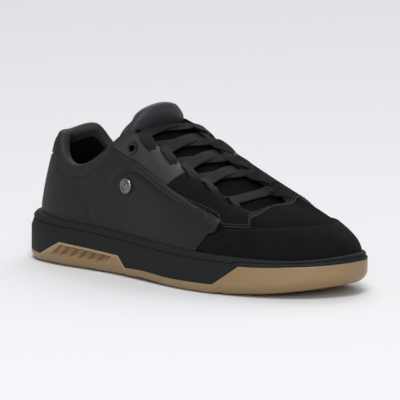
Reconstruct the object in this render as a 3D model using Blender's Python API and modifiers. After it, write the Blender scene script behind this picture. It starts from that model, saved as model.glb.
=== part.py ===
"""Low skate-style sneaker, right shoe: gum outsole, black cupsole, hollow padded upper and its panels.

Sizes are in millimetres from the back of the heel, +X to the toe, +Y to the medial side, +Z up.
place() turns them into metres about the middle of the sole's outline.
"""
import math

import bmesh
import bpy
import numpy as np
from mathutils import Matrix, Vector

# Driving dimensions of the shoe, in millimetres
LENGTH = 300.0
BALL_WIDTH = 108.0
HEEL_HEIGHT = 100.0
WALL = 2.0
GAP = 0.3
MILLIMETRE = 0.001

# Sole, heights above the ground line
TOE_SPRING = 10.0
SPRING_START = 205.0
ARCH_RISE = 1.2
ARCH_MIDDLE = 142.0
ARCH_HALF_LENGTH = 34.0
GUM_FLOOR = 4.0
GUM_WALL = 2.8
EDGE_SOFTENING = 0.7
EDGE_RADIUS_LIMITS = (4.8, 8.0)
BED_HEEL = 18.0
BED_FOREFOOT = 11.0
BED_SLOPE = (60.0, 200.0)
INSOLE_THICKNESS = 4.5
BEAD_HEIGHT = 4.8
BEAD_SHARE = 0.46
LIP_PROFILE = (
    # inset as a share of the seat, drop below the lip as a share of the bead
    (0.22, 1.18),
    (0.34, 1.00),
    (0.24, 0.83),
    (0.36, 0.40),
    (0.62, 0.00),
    (1.00, 0.06),
)
EDGE_TURNS = (0, 30, 60, 90)
INSOLE_EDGE = 1.5

# Upper edge of the gum along each side: distance from the heel, height above the ground line
GUM_EDGE = (
    # along, height
    (0.0, 8.0),
    (30.0, 7.0),
    (54.0, 18.6),
    (116.0, 15.4),
    (124.0, 6.8),
    (217.0, 7.4),
    (238.0, 21.0),
    (272.0, 18.6),
    (300.0, 15.5),
)

# Slanted slots in each heel window of the gum
SLOT_COUNT = 6
SLOT_FIRST = 62.0
SLOT_PITCH = 9.2
SLOT_HEIGHT = 12.4
SLOT_SIZE = (3.0, 3.2, 6.4)
SLOT_SLANT = math.radians(38)

# Grooves across the tread: distance from the heel
TREAD_GROOVES = (26.0, 48.0, 70.0, 176.0, 198.0, 220.0, 242.0)
GROOVE_WIDTH = 3.0
GROOVE_DEPTH = 1.4

# Stations around the shoe, from the heel's back along the lateral side to the toe and back.
# along, top_along: shares of LENGTH; across, top_across: shares of BALL_WIDTH;
# top_rise: share of HEEL_HEIGHT; lip: height of the cupsole's rim; seat: how far the upper stands in
# from the outline; lean: 0 a full arch, 1 straight; pad: extra thickness of the collar.
STATIONS = (
    # name            along  across  lip   seat  top_along top_across top_rise lean  pad
    ("heel_back",     0.000,  0.000, 37.2, 9.6,   0.085,    0.000,   0.955,   0.76, 6.5),
    ("heel_lateral",  0.040, -0.250, 36.6, 9.2,   0.113,   -0.180,   0.940,   0.70, 6.5),
    ("counter_lat",   0.150, -0.370, 35.2, 7.6,   0.163,   -0.262,   0.770,   0.56, 6.0),
    ("ankle_lat",     0.267, -0.380, 33.6, 6.8,   0.247,   -0.300,   0.752,   0.50, 6.0),
    ("shank_lat",     0.383, -0.398, 32.0, 6.4,   0.333,   -0.292,   0.930,   0.40, 4.5),
    ("waist_lat",     0.500, -0.454, 30.6, 6.2,   0.397,   -0.262,   1.050,   0.32, 0.6),
    ("ball_lat",      0.633, -0.509, 29.2, 6.0,   0.500,   -0.230,   0.905,   0.30, 0.0),
    ("vamp_lat",      0.783, -0.472, 28.2, 5.8,   0.633,   -0.215,   0.700,   0.30, 0.0),
    ("corner_lat",    0.927, -0.287, 28.4, 5.6,   0.738,   -0.200,   0.562,   0.26, 0.0),
    ("toe",           1.000,  0.028, 31.5, 5.4,   0.754,    0.000,   0.582,   0.24, 0.0),
    ("corner_med",    0.967,  0.296, 30.0, 5.6,   0.738,    0.215,   0.590,   0.26, 0.0),
    ("vamp_med",      0.860,  0.454, 29.0, 5.8,   0.633,    0.232,   0.725,   0.30, 0.0),
    ("ball_med",      0.707,  0.491, 29.4, 6.0,   0.500,    0.250,   0.930,   0.30, 0.0),
    ("waist_med",     0.550,  0.426, 31.0, 6.2,   0.397,    0.280,   1.070,   0.32, 0.6),
    ("shank_med",     0.400,  0.352, 32.4, 6.4,   0.333,    0.300,   0.955,   0.40, 4.5),
    ("ankle_med",     0.273,  0.352, 33.8, 6.8,   0.247,    0.300,   0.790,   0.50, 6.0),
    ("counter_med",   0.150,  0.361, 35.2, 7.6,   0.163,    0.262,   0.830,   0.56, 6.0),
    ("heel_medial",   0.040,  0.250, 36.6, 9.2,   0.118,    0.180,   0.985,   0.70, 6.5),
)
STATION_COLUMNS = ("along", "across", "lip", "seat", "top_along", "top_across", "top_rise", "lean", "pad")
COLUMNS = 48
CAP_SPANS = 3
SEARCH_STEPS = 121

# Heights of the upper's rows, from the lip 0 to the top edge 1
UPPER_ROWS = (0.0, 0.16, 0.32, 0.48, 0.62, 0.75, 0.87, 0.94, 1.0)
INNER_ROWS = (0.0, 0.32, 0.62, 0.79, 0.9, 1.0)
RIM_TURNS = (60, 120)
PAD_START = 0.48
PAD_FULL = 0.87

# Panels laid on the upper, and the roll along the front edge of each quarter
PANEL = 1.3
PANEL_FOOT = 0.6
QUARTER_STATIONS = (0.0, 7.5)
QUARTER_ROWS = 7
THROAT_STATIONS = (4.0, 8.75)
THROAT_ROWS = 9
TOE_STATIONS = (5.5, 12.5)
TOE_ROWS = 5
HEEL_STATIONS = (-2.0, 2.0)
HEEL_ROWS = 8
ROLL_WIDTH = 10.0
ROLL_HEIGHT = 4.4
ROLL_EDGE = 0.3
ROLL_SIDES = 6
ROLL_SECTIONS = 12
ROLL_REACH = (0.2, 0.42)
ROLL_TAPER = 0.5
ROLL_TAPER_RUN = (104.0, 140.0)

# Lace holes: distance from the heel, and from the throat's edge over the surface
HOLE_COUNT = 6
HOLE_FIRST = 124.0
HOLE_PITCH = 19.1
HOLE_TO_EDGE = 14.0
HOLE_RADIUS = 2.6
HOLE_STATIONS = (4.6, 8.46)
RING_HOLE_RADIUS = 3.4
DRILL_DEPTH = 14.0
DRILL_SIDES = 8

# Eyelet ring and badge, turned profiles: radius, height
RING_PROFILE = ((2.3, 1.2), (4.4, 1.2), (4.9, 0.7), (4.9, 0.3), (3.0, 0.3), (3.0, -3.2), (2.3, -3.2))
BADGE_PROFILE = ((0.0, 2.4), (2.4, 2.3), (3.4, 1.8), (4.4, 2.0), (5.6, 1.9), (6.1, 1.3), (6.1, 0.0),
                 (0.0, 0.0))
BADGE_ALONG = 121.0
BADGE_HEIGHT = 67.0
TURNED_STEPS = 14

# Tongue: station where it starts at the front, rows under the eyestays, and its free top
TONGUE_FRONT = 8.2
TONGUE_BACK = 4.9
TONGUE_GAP = 0.8
TONGUE_ROWS = (0.79, 0.87, 0.94, 1.0)
TONGUE_NARROWING = (5.0, 6.4)
TONGUE_NARROWEST = 0.2
TONGUE_CROWN_POINTS = 5
TONGUE_CROWN = 0.3
TONGUE_CROWN_LEAN = 0.3
TONGUE_THICKNESS = (4.0, 8.5)
TONGUE_FLANK_SHARE = 0.3
TONGUE_TOP_STEPS = (0.25, 0.55, 0.82, 1.0)
TONGUE_ROUNDING = (1.0, 0.95, 0.72, 0.36)
TONGUE_TOP_EDGE = (
    # along, across from the throat's middle, height; from the flank up to the middle
    (100.0, 20.0, 88.0),
    (97.5, 23.0, 96.5),
    (104.5, 24.0, 105.0),
    (113.0, 26.5, 111.5),
    (119.0, 23.0, 117.2),
    (123.5, 13.5, 122.3),
    (125.5, 0.0, 124.6),
)

# Lace: middle of its thickness over the panels and over the tongue, for the crossings and for the bar
LACE_WIDTH = 7.0
LACE_THICKNESS = 1.4
LACE_OVER_PANEL = 4.0
LACE_OVER_TONGUE = 2.9
BAR_OVER_PANEL = 3.8
BAR_OVER_TONGUE = 2.5
LACE_SECTIONS = 6
LACE_PAST_HOLE = 0.25
LACE_TOP = 5.3

# Side-view outlines of the panels on the upper, and the middle of the roll: distance from the heel, height
ROLL_LINE = ((104.0, 88.5), (120.0, 83.5), (140.0, 75.6), (165.0, 65.2), (190.0, 55.2), (211.0, 47.4))
QUARTER_OUTLINE = ((-20, 20), (-20, 77), (34.8, 81), (36, 120), (98, 120), (104, 83.0), (120, 78.0),
                   (140, 70.2), (165, 59.8), (190, 49.8), (205, 44.2), (193, 20))
EYESTAY_OUTLINE = ((104, 94.0), (106, 120), (150, 120), (176, 86), (164.5, 70.6), (140, 80.8), (120, 88.8))
SADDLE_OUTLINE = ((165.5, 70.2), (177.5, 86), (200, 90), (227, 60), (238, 47.6), (222, 47.6), (190, 60.4))
MUDGUARD_OUTLINE = ((195, 20), (206.5, 42.4), (217, 42.6), (222, 46.8), (320, 49.0), (320, 20))
HEEL_TAB_OUTLINE = ((-20, 78), (-20, 110), (34, 110), (34, 82))
SIDE_REACH = 90.0
HALF_SEAM = 0.4

COLOURS = {
    # finish: red, green, blue, roughness, metallic
    "gum": (0.42, 0.25, 0.12, 0.55, 0.0),
    "black_rubber": (0.020, 0.020, 0.022, 0.5, 0.0),
    "leather": (0.017, 0.017, 0.019, 0.45, 0.0),
    "suede": (0.011, 0.011, 0.012, 0.9, 0.0),
    "textile": (0.014, 0.014, 0.016, 0.85, 0.0),
    "steel": (0.55, 0.55, 0.56, 0.3, 1.0),
}


def ring_spline(values):
    """A closed smooth curve through one value for each station; s runs from 0 to 1 around the shoe."""
    y = np.asarray(values, float)
    count = len(y)
    matrix = np.zeros((count, count))
    for i in range(count):
        matrix[i, i - 1] = 1
        matrix[i, i] = 4
        matrix[i, (i + 1) % count] = 1
    slope = np.linalg.solve(matrix, 3 * (np.roll(y, -1) - np.roll(y, 1)))

    def at(s):
        u = (np.asarray(s, float) % 1) * count
        i = np.floor(u).astype(int) % count
        j = (i + 1) % count
        t = u - np.floor(u)
        return (y[i] * (1 + 2 * t) * (1 - t) ** 2 + slope[i] * t * (1 - t) ** 2
                + y[j] * t * t * (3 - 2 * t) - slope[j] * t * t * (1 - t))
    return at


def station_curves():
    """A curve around the shoe for each column of the station table, in millimetres."""
    scale = {"along": LENGTH, "across": BALL_WIDTH, "top_along": LENGTH,
             "top_across": BALL_WIDTH, "top_rise": HEEL_HEIGHT}
    curves = {}
    for i, column in enumerate(STATION_COLUMNS):
        curves[column] = ring_spline([row[i + 1] * scale.get(column, 1.0) for row in STATIONS])
    return curves


CURVE = station_curves()


def smooth_step(low, high, x):
    t = np.clip((np.asarray(x, float) - low) / (high - low), 0, 1)
    return t * t * (3 - 2 * t)


def ground(x):
    """Height of the sole's underside: flat at heel and ball, lifted at the arch and the toe."""
    spring = TOE_SPRING * np.clip((x - SPRING_START) / (LENGTH - SPRING_START), 0, None) ** 2
    arch = np.clip(1 - ((x - ARCH_MIDDLE) / ARCH_HALF_LENGTH) ** 2, 0, None) ** 2
    return spring + ARCH_RISE * arch


def bed(x):
    """Height of the cupsole's inside over the ground line."""
    return BED_HEEL + (BED_FOREFOOT - BED_HEEL) * smooth_step(*BED_SLOPE, x)


def outline(s, inset):
    """The sole's outline seen from above, moved in by inset along its own normal."""
    e = 1e-4
    across = CURVE["along"](s + e) - CURVE["along"](s - e)
    along = CURVE["across"](s + e) - CURVE["across"](s - e)
    size = np.hypot(across, along)
    return CURVE["along"](s) - inset * along / size, CURVE["across"](s) + inset * across / size


def sole_point(s, inset, height):
    """A point of the sole: inset from the outline, height over the ground line."""
    x, y = outline(s, inset)
    return np.stack([x, y, ground(x) + height], -1)


def lip_height(s):
    """Height of the cupsole's rim over the ground line."""
    return CURVE["lip"](s) - ground(outline(s, 0.0)[0])


def gum_top(s):
    along, height = zip(*GUM_EDGE)
    return np.interp(outline(s, 0.0)[0], along, height)


def upper_point(s, h):
    """A point of the upper's outer face: s around the shoe, h from the lip 0 to the top edge 1."""
    s, h = np.broadcast_arrays(np.asarray(s, float), np.asarray(h, float))
    foot = sole_point(s, CURVE["seat"](s) + GAP, lip_height(s))
    top = np.stack([CURVE["top_along"](s), CURVE["top_across"](s), CURVE["top_rise"](s)], -1)
    inward = 1 - np.cos(h * math.pi / 2)
    arch = np.sin(h * math.pi / 2)
    lean = CURVE["lean"](s)
    rise = (1 - lean) * arch + lean * inward
    point = foot + (top - foot) * inward[..., None]
    point[..., 2] = foot[..., 2] + (top - foot)[..., 2] * rise
    return point


def upper_slopes(s, h):
    """Directions around the shoe and up the upper at a point, and the outward normal."""
    e = 1e-3
    around = upper_point(s + e, h) - upper_point(s - e, h)
    high, low = np.minimum(np.asarray(h) + e, 1), np.maximum(np.asarray(h) - e, 0)
    up = upper_point(s, high) - upper_point(s, low)
    normal = np.cross(around, up)
    return (around / np.linalg.norm(around, axis=-1, keepdims=True),
            up / np.linalg.norm(up, axis=-1, keepdims=True),
            normal / np.linalg.norm(normal, axis=-1, keepdims=True))


def upper_offset(s, h, distance):
    """A point at a distance outside the upper's outer face."""
    s, h = np.broadcast_arrays(np.asarray(s, float), np.asarray(h, float))
    return upper_point(s, h) + upper_slopes(s, h)[2] * np.asarray(distance)[..., None]


def wall_thickness(s, h):
    return WALL + CURVE["pad"](s) * smooth_step(PAD_START, PAD_FULL, h)


def bisect(function, low, high, target):
    """Where a rising or falling function of one number reaches the target."""
    rising = function(high) > function(low)
    for _ in range(50):
        middle = (low + high) / 2
        if (function(middle) < target) == rising:
            low = middle
        else:
            high = middle
    return (low + high) / 2


def column_places():
    """Places of the columns around the shoe, with one at each corner of the gum's edge."""
    places = np.arange(COLUMNS) / COLUMNS
    taken = {0, COLUMNS // 2}
    for along, _ in GUM_EDGE[1:-1]:
        for low, high in ((0.0, 0.5), (0.5, 1.0)):
            exact = bisect(lambda s: outline(s, 0.0)[0], low, high, along)
            order = np.argsort(np.abs(places - exact))
            nearest = next(int(i) for i in order if int(i) not in taken)
            taken.add(nearest)
            places[nearest] = exact
    return np.sort(places)


PLACES = column_places()
EDGE_X, EDGE_Y = outline(PLACES, 0.0)
CENTRE = ((EDGE_X.max() + EDGE_X.min()) / 2, (EDGE_Y.max() + EDGE_Y.min()) / 2, 0.0)


def place(point):
    """A point in metres about the middle of the outline."""
    return Vector([(a - b) * MILLIMETRE for a, b in zip(point, CENTRE)])


def surface_place(along, height, side):
    """Parameters of the upper's point at a distance from the heel and a height, on one side."""
    low, high = (0.0, 0.5) if side < 0 else (0.5, 1.0)
    best = None
    for s in np.linspace(low, high, SEARCH_STEPS):
        h = bisect(lambda t: upper_point(s, t)[2], 0.0, 1.0, height)
        miss = abs(upper_point(s, h)[0] - along) + abs(upper_point(s, h)[2] - height)
        if best is None or miss < best[0]:
            best = (miss, s, h)
    return best[1], best[2]


def below_edge(s, distance):
    """The height parameter at a distance over the surface below the top edge."""
    h = np.linspace(1.0, 0.4, SEARCH_STEPS)
    points = upper_point(s, h)
    run = np.concatenate([[0], np.cumsum(np.linalg.norm(np.diff(points, axis=0), axis=1))])
    return float(np.interp(distance, run, h))


def lace_holes(side):
    """Parameters of the lace holes on one side, from the top one down."""
    low, high = (station / len(STATIONS) for station in HOLE_STATIONS)
    if side > 0:
        low, high = 1 - low, 1 - high
    holes = []
    for i in range(HOLE_COUNT):
        target = HOLE_FIRST + i * HOLE_PITCH
        s = bisect(lambda t: upper_point(t, below_edge(t, HOLE_TO_EDGE))[0], low, high, target)
        holes.append((s, below_edge(s, HOLE_TO_EDGE)))
    return holes


# Meshes and objects

def new_collection(name):
    collection = bpy.data.collections.new(name)
    bpy.context.scene.collection.children.link(collection)
    return collection


def add_sheet(bm, points):
    """A grid of triangles through an array of points, rows by columns, in millimetres."""
    rows, columns = points.shape[:2]
    made = bmesh.ops.create_grid(bm, x_segments=columns - 1, y_segments=rows - 1, size=1.0)
    faces = set()
    for vert in made["verts"]:
        column = round((vert.co.x + 1) / 2 * (columns - 1))
        row = round((vert.co.y + 1) / 2 * (rows - 1))
        vert.co = place(points[row, column])
        faces.update(vert.link_faces)
    bmesh.ops.triangulate(bm, faces=list(faces), quad_method="FIXED")


def finish_mesh(name, bm, collection, finish):
    """Closes a mesh's seams, turns its faces outwards and makes it a smooth-shaded object."""
    bmesh.ops.remove_doubles(bm, verts=bm.verts, dist=1e-6)
    bmesh.ops.dissolve_degenerate(bm, edges=bm.edges, dist=1e-7)
    bmesh.ops.recalc_face_normals(bm, faces=bm.faces)
    mesh = bpy.data.meshes.new(name)
    bm.to_mesh(mesh)
    bm.free()
    mesh.shade_smooth()
    mesh.set_sharp_from_angle(angle=math.radians(40))
    thing = bpy.data.objects.new(name, mesh)
    collection.objects.link(thing)
    if finish:
        mesh.materials.append(MATERIALS[finish])
        thing.parent = ROOT
    else:
        thing.hide_render = True
        thing.display_type = "WIRE"
    return thing


def solid(name, sheets, finish):
    """A closed piece from sheets whose edges meet."""
    bm = bmesh.new()
    for sheet in sheets:
        add_sheet(bm, sheet)
    return finish_mesh(name, bm, PARTS, finish)


def wrap(points):
    """Repeats the first column at the end, so that a strip closes around the shoe."""
    return np.concatenate([points, points[:, :1]], axis=1)


def cap(ring, height):
    """A sheet across a ring around the shoe, its height given over the ground line by a function of x."""
    half = COLUMNS // 2
    lateral = ring[:half + 1]
    medial = ring[[0] + list(range(COLUMNS - 1, half - 1, -1))]
    sheet = np.stack([lateral + (medial - lateral) * t for t in np.linspace(0, 1, CAP_SPANS + 1)])
    sheet[1:-1, :, 2] = ground(sheet[1:-1, :, 0]) + height(sheet[1:-1, :, 0])
    return sheet


def sole_strip(rings):
    """A strip around the shoe through rings of inset and height."""
    return wrap(np.stack([sole_point(PLACES, inset, height) for inset, height in rings]))


def boolean(thing, operation, cutter):
    modifier = thing.modifiers.new(operation.lower(), "BOOLEAN")
    modifier.operation = operation
    modifier.solver = "EXACT"
    modifier.object = cutter
    return modifier


def cutter_from(name, bm):
    return finish_mesh(name, bm, CUTTERS, None)


def prism(name, corners, sides):
    """A cutter from a side-view outline, reaching out from the middle on the sides named."""
    bm = bmesh.new()
    low = -SIDE_REACH if -1 in sides else HALF_SEAM
    high = SIDE_REACH if 1 in sides else -HALF_SEAM
    ring = [bm.verts.new(place((x, low, z))) for x, z in corners]
    bm.faces.new(ring)
    made = bmesh.ops.extrude_face_region(bm, geom=list(bm.faces))
    moved = [v for v in made["geom"] if isinstance(v, bmesh.types.BMVert)]
    bmesh.ops.translate(bm, verts=moved, vec=(0, (high - low) * MILLIMETRE, 0))
    return cutter_from(name, bm)


def drills(name, holes, radii):
    """Cutters through the upper and its panels at the lace holes."""
    bm = bmesh.new()
    for (s, h), radius in zip(holes, radii):
        axis = Vector(upper_slopes(s, h)[2])
        made = bmesh.ops.create_cone(bm, cap_ends=True, segments=DRILL_SIDES, radius1=radius * MILLIMETRE,
                                     radius2=radius * MILLIMETRE, depth=DRILL_DEPTH * MILLIMETRE)
        bmesh.ops.rotate(bm, verts=made["verts"], matrix=axis.to_track_quat("Z", "Y").to_matrix())
        bmesh.ops.translate(bm, verts=made["verts"], vec=place(upper_point(s, h)))
    return cutter_from(name, bm)


def make_outsole():
    """The gum tray: rounded tread edge, wall up to the gum's edge, and a floor."""
    top = gum_top(PLACES)
    radius = np.clip(top - 2 * EDGE_SOFTENING, *EDGE_RADIUS_LIMITS)
    rings = []
    for angle in np.radians(EDGE_TURNS):
        rings.append((radius * (1 - math.sin(angle)), radius * (1 - math.cos(angle))))
    rings += [(0.0, top - EDGE_SOFTENING), (EDGE_SOFTENING, top), (GUM_WALL, top), (GUM_WALL, GUM_FLOOR)]
    strip = sole_strip(rings)
    under = cap(strip[0, :-1], lambda x: 0.0)
    floor = cap(strip[-1, :-1], lambda x: GUM_FLOOR)
    thing = solid("outsole", (strip, under, floor), "gum")
    boolean(thing, "DIFFERENCE", slot_cutters())
    boolean(thing, "DIFFERENCE", groove_cutters())


def slot_cutters():
    """The slanted slots of both heel windows."""
    bm = bmesh.new()
    for low, high in ((0.0, 0.5), (0.5, 1.0)):
        for i in range(SLOT_COUNT):
            along = SLOT_FIRST + i * SLOT_PITCH
            s = bisect(lambda t: outline(t, 0.0)[0], low, high, along)
            made = bmesh.ops.create_cube(bm, size=MILLIMETRE)
            bmesh.ops.scale(bm, verts=made["verts"], vec=SLOT_SIZE)
            bmesh.ops.rotate(bm, verts=made["verts"], matrix=Matrix.Rotation(SLOT_SLANT, 3, "Y"))
            bmesh.ops.translate(bm, verts=made["verts"], vec=place(sole_point(s, 0.0, SLOT_HEIGHT)))
    return cutter_from("slot_cutters", bm)


def groove_cutters():
    """Grooves straight across the tread."""
    bm = bmesh.new()
    for along in TREAD_GROOVES:
        made = bmesh.ops.create_cube(bm, size=MILLIMETRE)
        bmesh.ops.scale(bm, verts=made["verts"], vec=(GROOVE_WIDTH, 2 * SIDE_REACH, 2 * GROOVE_DEPTH))
        bmesh.ops.translate(bm, verts=made["verts"], vec=place((along, 0, ground(along))))
    return cutter_from("groove_cutters", bm)


def make_midsole():
    """The cupsole: sits in the gum tray, steps out over its edge and ends in a grooved, rounded lip."""
    gum = gum_top(PLACES)
    lip = lip_height(PLACES)
    seat = CURVE["seat"](PLACES)
    bead = np.minimum(BEAD_HEIGHT, BEAD_SHARE * (lip - gum))
    inside = GUM_WALL + GAP
    low = gum + GAP
    rings = [
        (inside, GUM_FLOOR + GAP),
        (inside, low),
        (EDGE_SOFTENING, low),
        (0.0, low + EDGE_SOFTENING),
        (GAP, (low + lip - bead) / 2),
    ]
    rings += [(seat * inset, lip - bead * drop) for inset, drop in LIP_PROFILE]
    rings.append((seat, bed(outline(PLACES, seat)[0])))
    strip = sole_strip(rings)
    under = cap(strip[0, :-1], lambda x: GUM_FLOOR + GAP)
    inner = cap(strip[-1, :-1], bed)
    solid("midsole", (strip, under, inner), "black_rubber")


def make_insole():
    """The footbed, with a rounded upper edge."""
    inset = CURVE["seat"](PLACES) + 2 * GAP + WALL
    foot = bed(outline(PLACES, inset)[0]) + GAP
    rings = [
        (inset, foot),
        (inset, foot + INSOLE_THICKNESS - INSOLE_EDGE),
        (inset + INSOLE_EDGE, foot + INSOLE_THICKNESS),
    ]
    strip = sole_strip(rings)
    under = cap(strip[0, :-1], lambda x: bed(x) + GAP)
    over = cap(strip[-1, :-1], lambda x: bed(x) + GAP + INSOLE_THICKNESS)
    solid("insole", (strip, under, over), "textile")


def make_upper(drill_bits):
    """The hollow upper: a skirt inside the cupsole, its outer face, a round padded rim and the inner face."""
    seat = CURVE["seat"](PLACES) + GAP
    foot = bed(outline(PLACES, seat)[0]) + GAP
    outer = upper_point(*np.meshgrid(PLACES, UPPER_ROWS))
    grid_s, grid_h = np.meshgrid(PLACES, INNER_ROWS)
    thickness = wall_thickness(grid_s, grid_h)
    inner = upper_offset(grid_s, grid_h, -thickness)
    inner[0] = sole_point(PLACES, seat + WALL, lip_height(PLACES))
    skirt_outer = sole_point(PLACES, seat, foot)[None]
    skirt_inner = sole_point(PLACES, seat + WALL, foot)[None]
    up = upper_slopes(PLACES, np.ones(COLUMNS))[1]
    half = thickness[-1][:, None] / 2
    middle = (outer[-1] + inner[-1]) / 2
    rim = [outer[-1]]
    for angle in np.radians(RIM_TURNS):
        across = (outer[-1] - middle) * math.cos(angle)
        rim.append(middle + across + up * half * math.sin(angle))
    rim.append(inner[-1])
    sheets = (
        wrap(np.concatenate([skirt_outer, outer])),
        wrap(np.stack(rim)),
        wrap(np.concatenate([skirt_inner, inner])),
        wrap(np.concatenate([skirt_outer, skirt_inner])),
    )
    thing = solid("upper", sheets, "textile")
    for bits in drill_bits:
        boolean(thing, "DIFFERENCE", bits)


def between(inner, outer):
    """Sheets of the closed piece between two grids of the same size."""
    return (inner, outer,
            np.stack([inner[0], outer[0]]), np.stack([inner[-1], outer[-1]]),
            np.stack([inner[:, 0], outer[:, 0]]), np.stack([inner[:, -1], outer[:, -1]]))


def shell_band(columns, row_count):
    """A closed shell laid over the upper along the given columns, from just over the lip up to a row."""
    s = PLACES[columns]
    rise = CURVE["top_rise"](s) - CURVE["lip"](s)
    low = PANEL_FOOT / (rise * (1 - CURVE["lean"](s))) * 2 / math.pi
    rows = np.array(UPPER_ROWS[1:row_count])
    grid_s = np.repeat(s[None], len(rows) + 1, axis=0)
    grid_h = np.concatenate([low[None], np.repeat(rows[:, None], len(s), axis=1)])
    reach = np.full(grid_s.shape, GAP)
    return between(upper_offset(grid_s, grid_h, reach), upper_offset(grid_s, grid_h, reach + PANEL))


def column_range(stations, side=-1):
    """Columns between two places counted in stations from the heel, which a start below zero runs through."""
    count = len(STATIONS)
    start, stop = stations if side < 0 else (-stations[1], -stations[0])
    turns = [(i, PLACES[i] * count + lap * count) for lap in (-1, 0) for i in range(COLUMNS)]
    return [i for i, at in turns if start <= at <= stop]


def panel(name, columns, row_count, corners, sides, finish, bits=None):
    """A panel of the upper, cut from a shell over it by a side-view outline."""
    thing = solid(name, shell_band(columns, row_count), finish)
    boolean(thing, "INTERSECT", prism(name + "_outline", corners, sides))
    if bits:
        boolean(thing, "DIFFERENCE", bits)


def roll_height(x):
    """Height of the middle of the roll at a distance from the heel."""
    along, height = zip(*ROLL_LINE)
    return np.interp(x, along, height)


def roll_place(along, side):
    """Parameters of the upper's point on the roll's middle at a distance from the heel."""
    def crossing(s):
        def over_roll(h):
            x, _, z = upper_point(s, h)
            return float(z - roll_height(x))
        return bisect(over_roll, 0.0, 1.0, 0.0)
    low, high = (ROLL_REACH if side < 0 else (1 - ROLL_REACH[0], 1 - ROLL_REACH[1]))
    s = bisect(lambda t: float(upper_point(t, crossing(t))[0]), low, high, along)
    return s, crossing(s)


def beside(s, h, distance):
    """The height parameter at a distance over the surface above (+) or below (-) a point."""
    near = np.linspace(max(h - 0.25, 0.0), min(h + 0.25, 1.0), SEARCH_STEPS)
    points = upper_point(s, near)
    run = np.concatenate([[0], np.cumsum(np.linalg.norm(np.diff(points, axis=0), axis=1))])
    return np.interp(distance, run - np.interp(h, near, run), near)


def make_roll(name, side):
    """The padded roll along the quarter's front edge: half-round on the upper, slimmer at its upper end."""
    turns = np.radians(np.linspace(0, 180, ROLL_SIDES + 1))
    base, dome = [], []
    for along in np.linspace(ROLL_LINE[0][0], ROLL_LINE[-1][0], ROLL_SECTIONS):
        s, h = roll_place(along, side)
        size = ROLL_TAPER + (1 - ROLL_TAPER) * float(smooth_step(*ROLL_TAPER_RUN, along))
        rows = beside(s, h, ROLL_WIDTH / 2 * size * np.cos(turns))
        base.append(upper_offset(s, rows, np.full(len(rows), GAP)))
        dome.append(upper_offset(s, rows, GAP + ROLL_EDGE + ROLL_HEIGHT * size * np.sin(turns)))
    solid(name, between(np.array(base), np.array(dome)), "leather")


def throat_rows(s):
    """Height parameters of the tongue's points under an eyestay; the tongue narrows towards its top."""
    station = min(s, 1 - s) * len(STATIONS)
    width = TONGUE_NARROWEST + (1 - TONGUE_NARROWEST) * smooth_step(*TONGUE_NARROWING, station)
    return 1 - (1 - np.array(TONGUE_ROWS)) * width


def throat_section(lateral, medial, panel_lift, crown_lift):
    """Points across the throat between a place on each side: over the eyestays and over a crown between them.

    panel_lift is a distance outside the upper; crown_lift gives one for each share of the way across.
    """
    sides = []
    for s in (lateral, medial):
        rows = throat_rows(s)
        _, up, normal = upper_slopes(s, 1.0)
        sides.append((upper_offset(s, rows, panel_lift(s, rows)), up * (TONGUE_CROWN_LEAN, 1, 1), normal))
    (left, left_up, left_normal), (right, right_up, right_normal) = sides
    span = np.linalg.norm(right[-1] - left[-1]) * TONGUE_CROWN
    crown = []
    for t in np.linspace(0, 1, TONGUE_CROWN_POINTS + 2)[1:-1]:
        point = (left[-1] * (1 + 2 * t) * (1 - t) ** 2 + left_up * span * t * (1 - t) ** 2
                 + right[-1] * t * t * (3 - 2 * t) + right_up * span * t * t * (1 - t))
        normal = left_normal * (1 - t) + right_normal * t
        crown.append(point + normal / np.linalg.norm(normal) * crown_lift(t))
    return np.concatenate([left, crown, right[::-1]])


def tongue_section(lateral, medial):
    return throat_section(lateral, medial, lambda s, h: -wall_thickness(s, h) - TONGUE_GAP, lambda t: 0.0)


def tongue_top_edge(middle):
    """The tongue's free edge from the lateral flank over the crown to the medial flank."""
    half = np.array(TONGUE_TOP_EDGE)
    lateral, medial = half * (1, -1, 1), half[-2::-1]
    return np.concatenate([lateral, medial]) + (0, middle, 0)


def make_tongue():
    """The tongue: follows the upper's inside under the eyestays, crowned between, with a free round top."""
    count = len(STATIONS)
    columns = [i for i in range(COLUMNS // 2) if TONGUE_BACK < PLACES[i] * count < TONGUE_FRONT][::-1]
    outer = [tongue_section(PLACES[i], PLACES[COLUMNS - i]) for i in columns]
    thickness = list(np.linspace(*TONGUE_THICKNESS, len(outer)))
    last = outer[-1]
    edge = tongue_top_edge(last[:, 1].mean())
    for step, round_off in zip(TONGUE_TOP_STEPS, TONGUE_ROUNDING):
        outer.append(last + (edge - last) * step)
        thickness.append(TONGUE_THICKNESS[1] * round_off)
    outer = np.array(outer)
    normal = np.cross(np.gradient(outer, axis=0), np.gradient(outer, axis=1))
    normal /= np.linalg.norm(normal, axis=-1, keepdims=True)
    normal *= np.sign(normal[len(columns) // 2, normal.shape[1] // 2, 2])
    across = np.sin(np.linspace(0, math.pi, outer.shape[1]))
    depth = np.outer(thickness, TONGUE_FLANK_SHARE + (1 - TONGUE_FLANK_SHARE) * across)
    solid("tongue", between(outer - normal * depth[..., None], outer), "textile")


def lace_point(s, across, lifts):
    """A point of the lace's middle over the throat: across runs from 0 to 1, lateral to medial."""
    over_panel, over_tongue = lifts
    dip = over_tongue - WALL - TONGUE_GAP - over_panel
    section = throat_section(s, 1 - s, lambda place, h: np.full(len(h), over_panel),
                             lambda t: dip * math.sin(math.pi * t) ** 0.5)
    slope = np.gradient(section, axis=0)
    at = across * (len(section) - 1)
    i = int(np.clip(np.floor(at), 0, len(section) - 2))
    t = at - i
    return (section[i] * (1 + 2 * t) * (1 - t) ** 2 + slope[i] * t * (1 - t) ** 2
            + section[i + 1] * t * t * (3 - 2 * t) - slope[i + 1] * t * t * (1 - t))


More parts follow.
